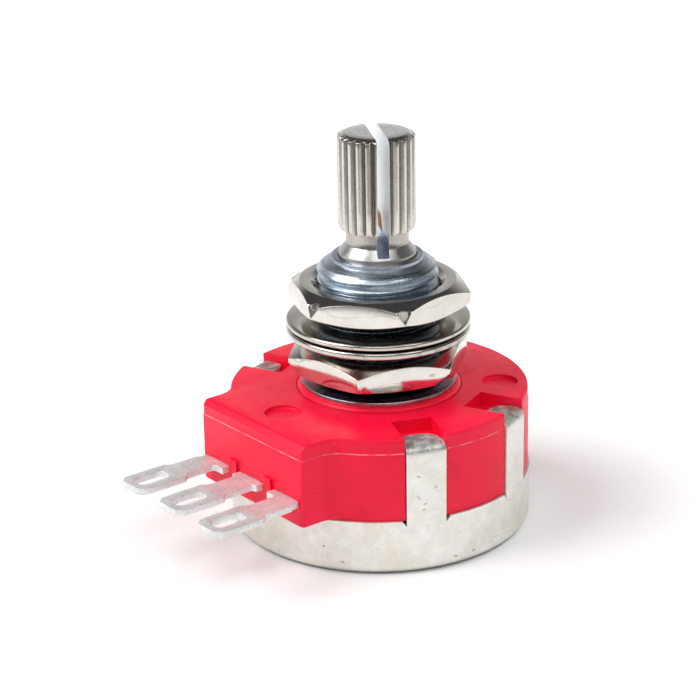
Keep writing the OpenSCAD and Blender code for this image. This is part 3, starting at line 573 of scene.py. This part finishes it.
# Knocked corners of the upper nut: centre, half sizes, shade
KNOCKS = (((0.95, -7.1, 19.3), (0.6, 0.6, 0.65), 0.1), ((6.55, -2.95, 19.0), (0.55, 0.5, 0.6), 1.25),
          ((-5.8, -4.2, 19.6), (0.9, 1.2, 0.6), 1.25))
RED = red_plastic("red_plastic")
TIN = tin("tin_plate", (0.87, 0.87, 0.83), (0.78, 0.75, 0.65), (0.36, 0.52), metal=0.72, grain=0.45,
          edge_mm=0.05, spots=0.45, mark=0.5, dashes=CAN_MARKS)
LUG = tin("tinned_lug", (0.83, 0.84, 0.845), (0.76, 0.755, 0.74), (0.40, 0.55), metal=0.55, grain=0.6,
          edge_mm=0.04, spots=0.8, mark=0.3, pitted=0.5)
NICKEL = nickel("bright_nickel", (0.66, 0.632, 0.588), 0.17, 0.11, KNOCKS)
MIRROR = nickel("washer_nickel", (0.56, 0.53, 0.49), 0.16, 0.2)
ZINC = zinc("zinc_plate")
SHAFT = shaft_metal("shaft_steel")
HIDDEN = {
    "rivet_brass": plain_metal("rivet_brass", (0.80, 0.62, 0.34), 0.35),
    "phenolic": plain_plastic("phenolic", (0.20, 0.085, 0.03), (0.34, 0.16, 0.07), 0.5),
    "carbon_film": plain_plastic("carbon_film", (0.015, 0.015, 0.017), (0.03, 0.03, 0.034), 0.6),
    "silver_film": plain_metal("silver_film", (0.78, 0.77, 0.74), 0.4),
    "pale_plastic": plain_plastic("pale_plastic", (0.70, 0.60, 0.42), (0.78, 0.70, 0.54), 0.45),
    "spring_bronze": plain_metal("spring_bronze", (0.74, 0.52, 0.28), 0.3),
    "dark_plastic": plain_plastic("dark_plastic", (0.018, 0.018, 0.02), (0.035, 0.035, 0.04), 0.45),
    "inner_steel": plain_metal("inner_steel", (0.62, 0.62, 0.62), 0.34),
}


# Housing

def housing_outline(inset, z):
    """Outline of the body and its terminal block, moved inwards by inset, at a height."""
    cx = BLOCK_X + BLOCK_FILLET
    cy = -math.sqrt((BODY_R + BLOCK_FILLET) ** 2 - cx ** 2)
    lean = math.atan2(-cy, cx)
    c, fillet = BLOCK_CORNER, BLOCK_FILLET + inset
    points = arc(0, 0, BODY_R - inset, -lean, math.pi + lean, 220)
    points += arc(-cx, cy, fillet, lean, 0, 10)
    points += arc(-BLOCK_X + c, -BLOCK_Y + c, c - inset, math.pi, 1.5 * math.pi, 5)
    points += arc(BLOCK_X - c, -BLOCK_Y + c, c - inset, -0.5 * math.pi, 0, 5)
    points += arc(cx, cy, fillet, math.pi, math.pi - lean, 10)
    front = -(BLOCK_Y - inset) + max(0.0, z - (TOP_Z - BLOCK_BEVEL))
    return [(x, max(y, front), z) for x, y in points[:-1]]


def make_housing():
    """Moulded body with its terminal block, tab notches, dimples, seat for the insert, and top ring."""
    foot_edge = 0.05
    rings = [[(x, y, BLOCK_Z if math.hypot(x, y) > CAN_R else CAN_H + 0.01)
              for x, y, _ in housing_outline(foot_edge, CAN_H)],
             [(x, y, BLOCK_Z + foot_edge) for x, y, _ in housing_outline(0, CAN_H)]]
    for inset, z in ((0, BAND_Z - 0.03), (0.02, BAND_Z - 0.01), (BAND_STEP, BAND_Z),
                     (BAND_STEP, BAND_Z + 0.04), (BAND_STEP, TOP_Z - BLOCK_BEVEL)):
        rings.append(housing_outline(inset, z))
    for k in range(5):
        t = k / 4 * math.pi / 2
        rings.append(housing_outline(BAND_STEP + TOP_EDGE * (1 - math.cos(t)),
                                     TOP_Z - TOP_EDGE + TOP_EDGE * math.sin(t)))
    n = len(rings[0])
    faces = []
    for j in range(len(rings) - 1):
        for i in range(n):
            k = (i + 1) % n
            faces.append((j * n + i, j * n + k, (j + 1) * n + k, (j + 1) * n + i))
    faces.append(tuple(range(n)))
    faces.append(tuple((len(rings) - 1) * n + i for i in range(n)))
    mesh = mesh_from("housing_body", [p for ring in rings for p in ring], faces)

    cutters = []
    for turn in TAB_TURNS:
        # Seat of the tab's bent end in the top, and groove for its upright part in the side
        cutters.append(solid_box((NOTCH_W, 6, 3), (-NOTCH_W / 2, -NOTCH_BACK - 6, NOTCH_Z), turn))
        cutters.append(solid_box((NOTCH_W, 3, 8), (-NOTCH_W / 2, -NOTCH_FRONT - 3, 3), turn))
    floor_z = TOP_Z - DIMPLE_DEPTH
    section = rounded([(0, floor_z), (DIMPLE_R, floor_z), (DIMPLE_R, TOP_Z + 1), (0, TOP_Z + 1)],
                      [0, 0.12, 0, 0])
    for turn in DIMPLE_TURNS:
        dimple = revolve("dimple", section, 64)
        x, y, _ = at(DIMPLE_AT, turn)
        dimple.transform(Matrix.Translation((x * MM, y * MM, 0)))
        cutters.append(dimple)
    cutters.append(solid_box((INSERT_W, 3, INSERT_TOP - 3), (-INSERT_W / 2, -BLOCK_Y - 1, 3)))
    mesh = carved(mesh, cutters)

    foot, sunk = RING_R + RING_FILLET, TOP_Z - 0.4
    profile = [(RING_BORE, sunk), (foot + 0.06, sunk), (foot + 0.06, TOP_Z)]
    profile += arc(foot, TOP_Z + RING_FILLET, RING_FILLET, -math.pi / 2, -math.pi, 6)
    profile += [(RING_R, RING_TOP - 0.02), (RING_R - 0.03, RING_TOP), (RING_BORE, RING_TOP)]
    mesh = carved(mesh, [revolve("ring", profile)], "UNION")
    add_piece("moulded_housing", mesh, RED, "base", "housing")


# Can

def can_columns():
    """Upright lines of the can: (turn, kind of the strip that follows, offset in its tab, tab's turn)."""
    half, steps = TAB_W / 2, 16
    offsets = [half * (2 * k / steps - 1) for k in range(steps + 1)]
    offsets = [-(half + NICK_W)] + offsets + [half + NICK_W]
    kinds = ["nick"] + ["tab"] * steps + ["nick", "wall"]
    marked = []
    for turn in sorted(TAB_TURNS, key=lambda t: t % 360):
        for kind, u in zip(kinds, offsets):
            marked.append((math.degrees(math.asin(u / CAN_R)) + turn % 360, kind, u, turn))
    columns = []
    for i, col in enumerate(marked):
        columns.append(col)
        if col[1] == "wall":
            span = (marked[(i + 1) % len(marked)][0] - col[0]) % 360
            count = max(1, round(span / 1.6))
            columns += [(col[0] + span * k / count, "wall", 0, 0) for k in range(1, count)]
    return columns


def tab_line(u, turn, path):
    """Points up one line of a tab and over to its rounded end."""
    base = math.sqrt(CAN_R ** 2 - u ** 2)
    line = [(base - depth, z) for depth, z in path]
    corner = TAB_CORNERS[1 if u > 0 else 0]
    cut = max(0.0, abs(u) - (TAB_W / 2 - corner))
    end = TAB_END + corner - math.sqrt(corner ** 2 - cut ** 2)
    start, top = line[-1]
    line += [(start + (end - start) * share, top) for share in (0.25, 0.5, 0.8, 1.0)]
    a = math.radians(turn)
    return [(u * math.cos(a) + r * math.sin(a), u * math.sin(a) - r * math.cos(a), z) for r, z in line]


def make_can():
    """One formed sheet: flat base, rounded edge, wall, and four tabs bent over into the notches."""
    columns = can_columns()
    rows = [(0.0, 0.0), (4.0, 0.0), (8.0, 0.0), (CAN_R - CAN_EDGE - 0.15, 0.0)]
    rows += arc(CAN_R - CAN_EDGE, CAN_EDGE, CAN_EDGE, -math.pi / 2, 0, 8)
    rows += [(CAN_R, 2.0), (CAN_R, 3.2), (CAN_R, CAN_H - NICK_H), (CAN_R, CAN_H - 0.1), (CAN_R, CAN_H)]
    last = len(rows) - 1
    points, index, faces = [], {}, []

    def point(i, j):
        key = (i % len(columns), j)
        if key not in index:
            r, z = rows[j]
            index[key] = len(points)
            points.append(tuple(at(r, columns[key[0]][0], z)))
        return index[key]

    for i, (_, kind, offset, _) in enumerate(columns):
        for j in range(last):
            if kind != "nick" or j < last - 2:
                faces.append((point(i, j), point(i + 1, j), point(i + 1, j + 1), point(i, j + 1)))
            elif j == last - 2:
                # A nick beside a tab: one sloping face at its foot, open above
                wall = i if offset < 0 else i + 1
                faces.append((point(i, j), point(i + 1, j), point(wall, last), point(wall, last - 1)))

    bend_out, bend_z = TAB_BEND + CAN_WALL, NOTCH_Z - TAB_BEND
    path = [(0.0, CAN_H + 1.5), (0.0, CAN_H + 3.2), (0.0, bend_z - 0.3)]
    for k in range(7):
        t = math.pi / 2 * k / 6
        path.append((bend_out * (1 - math.cos(t)), bend_z + bend_out * math.sin(t)))
    # The tabs go on up from the rim, strip by strip
    for i, (_, kind, _, _) in enumerate(columns):
        if kind != "tab":
            continue
        sides = []
        for k in (i, i + 1):
            ids = [point(k, last)]
            for p in tab_line(*columns[k % len(columns)][2:], path):
                ids.append(len(points))
                points.append(p)
            sides.append(ids)
        left, right = sides
        for j in range(len(left) - 1):
            faces.append((left[j], right[j], right[j + 1], left[j + 1]))

    mesh = mesh_from("can_sheet", points, faces)
    obj = add_piece("tinned_can", mesh, TIN, "base", "can", sharp=50)
    sheet = obj.modifiers.new("sheet", "SOLIDIFY")
    sheet.thickness = CAN_WALL * MM
    sheet.offset = -1
    sheet.use_even_offset = True
    soft = obj.modifiers.new("edges", "BEVEL")
    soft.width = SHEET_EDGE * MM
    soft.segments = 2
    soft.limit_method = "ANGLE"
    soft.angle_limit = math.radians(50)


# Bushing

def bush_envelope(z):
    """Radius of the bushing's outside over the thread and the rounded shoulder."""
    share = min(1.0, max(0.0, (z - LAND_TOP) / (BUSH_TOP - NOSE_H - LAND_TOP)))
    inner = NOSE_R + 0.1
    return inner + (THREAD_R - inner) * (1 - share ** SHOULDER_POWER) ** (1 / SHOULDER_POWER)


def make_thread():
    """Rolled thread as one helical skin that fades out under the shoulder."""
    depth, root_at, per_turn, columns = (THREAD_R - THREAD_ROOT) / 2, 0.46, 14, 144
    waves = [-math.cos(TAU * (k / per_turn - root_at / PITCH)) for k in range(per_turn)]
    low, high = FLANGE_TOP - 0.05, BUSH_TOP - NOSE_H
    rows = (int((high - THREAD_START) / PITCH) + 2) * per_turn
    total = rows + per_turn
    points, faces = [], []
    for i in range(columns):
        a = TAU * i / columns
        for j in range(total):
            t, wave = PITCH * (j % per_turn) / per_turn, waves[j % per_turn]
            turn_z = THREAD_START + (j // per_turn - 1 + i / columns) * PITCH
            fade = min(1.0, max(0.0, 1 - (turn_z + root_at - RUN_OUT) / 0.3))
            z = min(max(turn_z + t, low), high)
            r = min(THREAD_R - depth * (1 - wave) * fade, bush_envelope(z))
            points.append((r * math.cos(a), r * math.sin(a), z))
    for i in range(columns):
        a = i * total
        b = a + total if i < columns - 1 else per_turn
        faces += [(a + j, b + j, b + j + 1, a + j + 1) for j in range(rows - 1)]
    return mesh_from("thread", points, faces)


def make_bushing():
    """Thread, turned nose with the bore, and flange in one mesh."""
    foot, low = BUSH_TOP - NOSE_H, FLANGE_TOP - 0.8
    nose = rounded([(BORE_R, low), (BORE_R, BUSH_TOP), (NOSE_R, BUSH_TOP), (NOSE_R, foot),
                    (NOSE_R + 0.12, foot), (NOSE_R + 0.12, foot - 0.3), (4.0, foot - 0.7), (4.0, low)],
                   [0, 0.1, 0.09, 0.03, 0.02, 0, 0, 0])
    under = FLANGE_TOP - 0.35
    flange = rounded([(BORE_R + 0.2, under), (FLANGE_R, under), (FLANGE_R, FLANGE_TOP),
                      (BORE_R + 0.2, FLANGE_TOP)], [0, 0.06, 0.1, 0])
    mesh = joined("bushing_mesh", [make_thread(), revolve("nose", nose), revolve("flange", flange)])
    add_piece("threaded_bushing", mesh, ZINC, "base", "bushing", sharp=40)


# Nuts and washers

def hexagon(angle):
    """Radius of the nut's hexagon with rounded corners, in the direction angle from a corner."""
    a = (angle + math.pi / 6) % (math.pi / 3) - math.pi / 6
    flat_side = NUT_FLAT / math.cos(math.pi / 6 - abs(a))
    centre = (NUT_FLAT - NUT_CORNER) / math.cos(math.pi / 6)
    s = centre * math.sin(a)
    if abs(s) >= NUT_CORNER:
        return flat_side
    return min(flat_side, centre * math.cos(a) + math.sqrt(NUT_CORNER ** 2 - s ** 2))


def dent_at(angle, radius, dents):
    """Depth and share of the dent at this place of the hexagon."""
    found = (0.0, 0.0)
    for corner, deep, width in dents:
        away = abs((math.degrees(angle) - 60 * corner + 180) % 360 - 180) / 360 * TAU * radius
        share = max(0.0, 1 - away / width)
        if share > found[1]:
            found = (deep, share)
    return found


def make_nut(name, node, turn, low_slope, dents=(), low_dents=()):
    """Nut with bevelled faces; dents are (corner, depth, width) of corners that are knocked flat."""
    columns, points = 720, []
    z0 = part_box(node)[0].z / MM
    top, low = math.tan(math.radians(NUT_TOP_SLOPE)), math.tan(math.radians(low_slope))
    for i in range(columns):
        a = TAU * i / columns
        r = hexagon(a)
        deep, share = dent_at(a, r, dents)
        cut = 0.03 + 0.36 * share
        z_cut = NUT_H - (r - cut - NUT_FACE) * top
        z_top = NUT_H - (r - NUT_FACE) * top - deep * share
        deep, share = dent_at(a, r, low_dents)
        z_low = (r - NUT_FACE) * low + deep * share
        line = rounded([(NUT_BORE, NUT_SINK), (NUT_BORE + NUT_SINK, 0), (NUT_FACE, 0), (r, z_low), (r, z_top),
                        (r - cut, z_cut), (NUT_FACE, NUT_H), (NUT_BORE + NUT_SINK, NUT_H),
                        (NUT_BORE, NUT_H - NUT_SINK)], [0, 0.05, 0.1, 0.06, 0.03, 0.03, 0.08, 0.06, 0], 3)
        b = a + math.radians(turn)
        points += [(x * math.cos(b), x * math.sin(b), z0 + z) for x, z in line]
    mesh = mesh_from(name, points, grid_faces(columns, len(points) // columns))
    add_piece(name, mesh, NICKEL, "base", node, sharp=24)


def ring_section(bore, z0, z1, radii):
    """Section of a washer between two heights."""
    return rounded([(bore, z0), (WASHER_R, z0), (WASHER_R, z1), (bore, z1)], radii)


def make_washers():
    """Plain washer, and lock washer with twisted teeth inside its rim."""
    low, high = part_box("flat_washer")
    section = ring_section(WASHER_BORE, low.z / MM, high.z / MM, [0.05, 0.1, 0.16, 0.05])
    add_piece("plain_washer", revolve("plain_washer", section, 256), MIRROR, "base", "flat_washer")
    section = ring_section(LOCK_RIM, LOCK_Z - LOCK_T / 2, LOCK_Z + LOCK_T / 2, [0.05, 0.14, 0.2, 0.05])
    meshes = [revolve("rim", section, 256)]
    reach = THREAD_R + 0.02 + TOOTH_L / 2
    for i in range(LOCK_TEETH):
        tooth = solid_box((TOOTH_W, TOOTH_L, TOOTH_T), (-TOOTH_W / 2, -TOOTH_L / 2, -TOOTH_T / 2))
        tooth.transform(Matrix.Rotation(TAU * i / LOCK_TEETH, 4, "Z")
                        @ Matrix.Translation((0, -reach * MM, LOCK_Z * MM))
                        @ Matrix.Rotation(math.radians(TOOTH_TWIST), 4, "Y"))
        meshes.append(tooth)
    add_piece("toothed_washer", joined("toothed_washer", meshes), MIRROR, "base", "lock_washer")


# Shaft

def spline_columns():
    """Direction and outer radius of each upright line round the splines."""
    half = math.pi / SPLINES * CREST_SHARE
    side, edge = SPLINE_CREST * math.sin(half), SPLINE_CREST * math.cos(half)
    columns = []
    for g in range(SPLINES):
        base = TAU * g / SPLINES
        for share, lift in ((1.0, -0.02), (0.94, 0.0), (0.5, 0.0), (0.08, 0.02)):
            x, y = side * share, SPLINE_ROOT + (edge - SPLINE_ROOT) * share
            for way in (-1, 1):
                columns.append((base + way * math.atan2(x, y), math.hypot(x, y) + lift))
        columns += [(base + math.radians(turn), SPLINE_CREST) for turn in (6.0, 9.0)]
    return sorted(columns)


def make_shaft():
    """Splined and slotted end on a turned lower part; full is any radius over the splines' crests."""
    full = 3.2
    # Radius and height of each row, from inside the bushing to the flat top
    rows = [(0.0, 20.9), (2.9, 20.9), (JOURNAL_R, 21.0), (JOURNAL_R, CONE_LOW - 0.03)]
    rows += [(2.985, CONE_LOW + 0.01), (NECK_R + 0.02, NECK_LOW - 0.02), (NECK_R, NECK_LOW + 0.02), (NECK_R, 23.1)]
    rows += [(NECK_R, SPLINE_LOW - 0.03), (NECK_R + 0.03, SPLINE_LOW), (2.80, SPLINE_LOW + 0.02),
             (2.87, SPLINE_LOW + 0.06)]
    rows += [(full, SPLINE_LOW + up) for up in (0.35, 2.0, 4.0, 6.0)]
    rows += [(full, 30.6), (3.02, 30.94), (2.94, 31.0), (2.84, 31.05), (2.72, 31.105), (2.6, 31.165),
             (2.53, 31.2), (2.47, 31.228), (2.41, SHAFT_TOP), (1.6, SHAFT_TOP), (0.0, SHAFT_TOP)]
    columns = spline_columns()
    points = []
    for a, spline in columns:
        b = a + math.radians(SPLINE_TURN)
        for r, z in rows:
            r = min(r, spline if z > SPLINE_LOW else JOURNAL_R)
            points.append((r * math.sin(b), -r * math.cos(b), z))
    mesh = mesh_from("splines", points, grid_faces(len(columns), len(rows), closed=False))
    mesh = carved(mesh, [solid_box((SLOT_W, 8, 12), (-SLOT_W / 2, -4, SLOT_FLOOR), SLOT_TURN)])
    foot, groove, collar = SHAFT_FOOT_R, 1.7, 4.4
    lower = rounded([(0, 1.03), (foot, 1.03), (foot, 3.67), (groove, 3.67), (groove, 4.13), (foot, 4.13),
                     (foot, 7.51), (collar, 7.51), (collar, 8.06), (JOURNAL_R, 8.06), (JOURNAL_R, LOWER_TOP),
                     (0, LOWER_TOP)], [0, 0.3, 0, 0, 0, 0, 0, 0.05, 0.05, 0.02, 0.02, 0])
    mesh = joined("shaft_mesh", [mesh, revolve("journal", lower, 144)])
    add_piece("splined_shaft", mesh, SHAFT, "spindle", "shaft", sharp=28)


# Terminals

def make_terminal(name, node, bar_x, head_x):
    """Solder lug: root in the block, cross bar, neck, and a head with an oblong eye."""
    root, bar, neck, head = 0.95, 1.525, 1.1, 1.49
    # Each step of the outline: centre, half width, distance behind the block's front, corner radius
    steps = [(bar_x, root, 3.3, 0.05), (bar_x, root, -0.01, 0.05), (bar_x, bar, -0.01, 0.12),
             (bar_x, bar, -0.75, 0.1), (head_x, neck, -0.75, 0.25), (head_x, neck, -3.26, 0.4),
             (head_x, head, -3.65, 0.25), (head_x, head, -7.25, 0.4), (head_x, head - 0.5, -7.75, 0.5)]
    left = [(x - half, y - BLOCK_Y) for x, half, y, _ in steps]
    right = [(x + half, y - BLOCK_Y) for x, half, y, _ in reversed(steps)]
    radii = [radius for *_, radius in steps]
    eye_half, eye_length, eye_y = 0.69, 1.35, -5.78 - BLOCK_Y
    eye = [(head_x + eye_half * across, eye_y + eye_length * along)
           for across, along in ((1, -1), (1, 1), (-1, 1), (-1, -1))]
    mesh = plate(name, [rounded(left + right, radii + radii[::-1]), rounded(eye, 0.5, 6)], TERM_Z, TERM_T)
    add_piece(name, mesh, LUG, "base", node, sharp=50)


make_housing()
make_can()
make_bushing()
make_nut("upper_hex_nut", "upper_nut", 36.5, 25,
         ((5, 0.72, 0.62), (4, 0.72, 0.62), (3, 0.6, 1.5), (1, 0.2, 0.62)))
make_nut("lower_hex_nut", "lower_nut", 8.0, 14, (), ((0, 0.7, 1.1), (4, 0.7, 1.1)))
make_washers()
make_shaft()
make_terminal("lug_left", "terminal_left", -4.33, -4.95)
make_terminal("lug_wiper", "terminal_wiper", 0.0, 0.0)
make_terminal("lug_right", "terminal_right", 4.33, 4.95)

# The other nodes keep their CAD shape and get a material
SLOTS = {row["node"]: row["material_slot"] for row in frame["record"]["subparts"]}
for node_name, node_obj in frame["nodes"].items():
    if node_obj.hide_render:
        continue
    node_obj.data.materials.clear()
    node_obj.data.materials.append(HIDDEN.get(SLOTS[node_name], RED))
    node_obj.data.shade_smooth()
    weld = node_obj.modifiers.new("weld", "WELD")
    weld.merge_threshold = 1e-6
    smooth = node_obj.modifiers.new("split", "EDGE_SPLIT")
    smooth.split_angle = math.radians(30)

# Camera, fitted to the photograph
CAMERA_AT = Vector((118.27, -97.42, 71.59)) * MM
CAMERA_RIGHT = Vector((0.62928, 0.77700, -0.01669))
CAMERA_UP = Vector((-0.26484, 0.23458, 0.93532))
cam_data = bpy.data.cameras.new("camera")
cam_data.sensor_width = 36.0
cam_data.lens = 107.97
cam_data.clip_start = 0.005
cam = new_object("camera", cam_data)
turned = Matrix((CAMERA_RIGHT, CAMERA_UP, CAMERA_RIGHT.cross(CAMERA_UP))).transposed().to_4x4()
cam.matrix_world = Matrix.Translation(CAMERA_AT) @ turned
bpy.context.scene.camera = cam

# Floor: pale near the object, and lit by itself further away so that it ends in white
FRONT, SIDE = (0.78, -0.62), (0.62, 0.78)
FLOOR_HALF, FLOOR_Z = 2500, -0.02
floor_mesh = mesh_from("floor", [(x * FLOOR_HALF, y * FLOOR_HALF, FLOOR_Z)
                                 for x, y in ((-1, -1), (1, -1), (1, 1), (-1, 1))], [(0, 1, 2, 3)])
new_object("floor", floor_mesh)
fn = material("floor")
fx, fy, _ = fn.xyz()
far = fn.ramp(fn.along(fx, fy, FRONT), 52.0, 95.0)
fn.link(fn.mix(far, (0.93, 0.93, 0.93), (0.25, 0.25, 0.25)), fn.shader.inputs["Base Color"])
fn.link(0.9, fn.shader.inputs["Roughness"])
fn.link(0.0, fn.shader.inputs["Specular IOR Level"])
ray = fn.add("ShaderNodeLightPath").outputs
seen = fn.math("MAXIMUM", ray["Is Camera Ray"], fn.times(ray["Is Glossy Ray"], 0.6))
around_glow = fn.times(seen, fn.ramp(fn.radius(), 19.0, 38.0, 0.0, 0.31), fn.minus(1.0, far))
glow = fn.add("ShaderNodeEmission")
fn.link(fn.plus(around_glow, fn.times(ray["Is Camera Ray"], far)), glow.inputs["Strength"])
both = fn.add("ShaderNodeAddShader")
fn.link(fn.shader.outputs[0], both.inputs[0])
fn.link(glow.outputs[0], both.inputs[1])
fn.link(both.outputs[0], fn.tree.nodes["Material Output"].inputs["Surface"])
floor_mesh.materials.append(fn.owner)

# World: white to the camera, and for light a pale sky that darkens upwards, to the front and to the sides
world = bpy.data.worlds.new("studio")
bpy.context.scene.world = world
wn = Nodes(world, "Background", "Generated")
wx, wy, wz = wn.split(wn.coord)
level = wn.times(wn.ramp(wz, 0.05, 0.62, 1.0, 0.07),
                 wn.ramp(wn.along(wx, wy, FRONT), 0.35, 0.85, 1.0, 0.35),
                 wn.ramp(wn.math("ABSOLUTE", wn.along(wx, wy, SIDE)), 0.62, 0.8, 1.0, 0.3))
to_camera = wn.add("ShaderNodeLightPath").outputs["Is Camera Ray"]
wn.link(wn.math("MAXIMUM", level, to_camera), wn.shader.inputs["Strength"])
wn.link((1.0, 1.0, 1.0), wn.shader.inputs["Color"])

# Lamps: name, position, size, power, whether metals mirror it
LAMPS = (("box_front_top", (0.183, -0.146, 0.260), (0.20, 0.16), 0.25, True),
         ("box_right", (0.200, 0.045, 0.262), (0.11, 0.11), 0.13, True),
         ("box_left", (-0.110, -0.225, 0.260), (0.24, 0.24), 1.18, True),
         ("box_back_right", (-0.075, 0.300, 0.150), (0.2, 0.14), 0.22, False),
         ("box_over", (0.12, 0.20, 0.30), (0.25, 0.25), 0.46, False))
LAMP_TARGET = Vector((0, 0, 0.012))
for lamp_name, position, size, power, mirrored in LAMPS:
    lamp_data = bpy.data.lights.new(lamp_name, "AREA")
    lamp_data.shape = "RECTANGLE"
    lamp_data.size, lamp_data.size_y = size
    lamp_data.energy = power
    lamp = new_object(lamp_name, lamp_data)
    lamp.visible_glossy = mirrored
    lamp.location = position
    lamp.rotation_euler = (LAMP_TARGET - Vector(position)).to_track_quat("-Z", "Y").to_euler()

view = bpy.context.scene.view_settings
view.view_transform = "Standard"
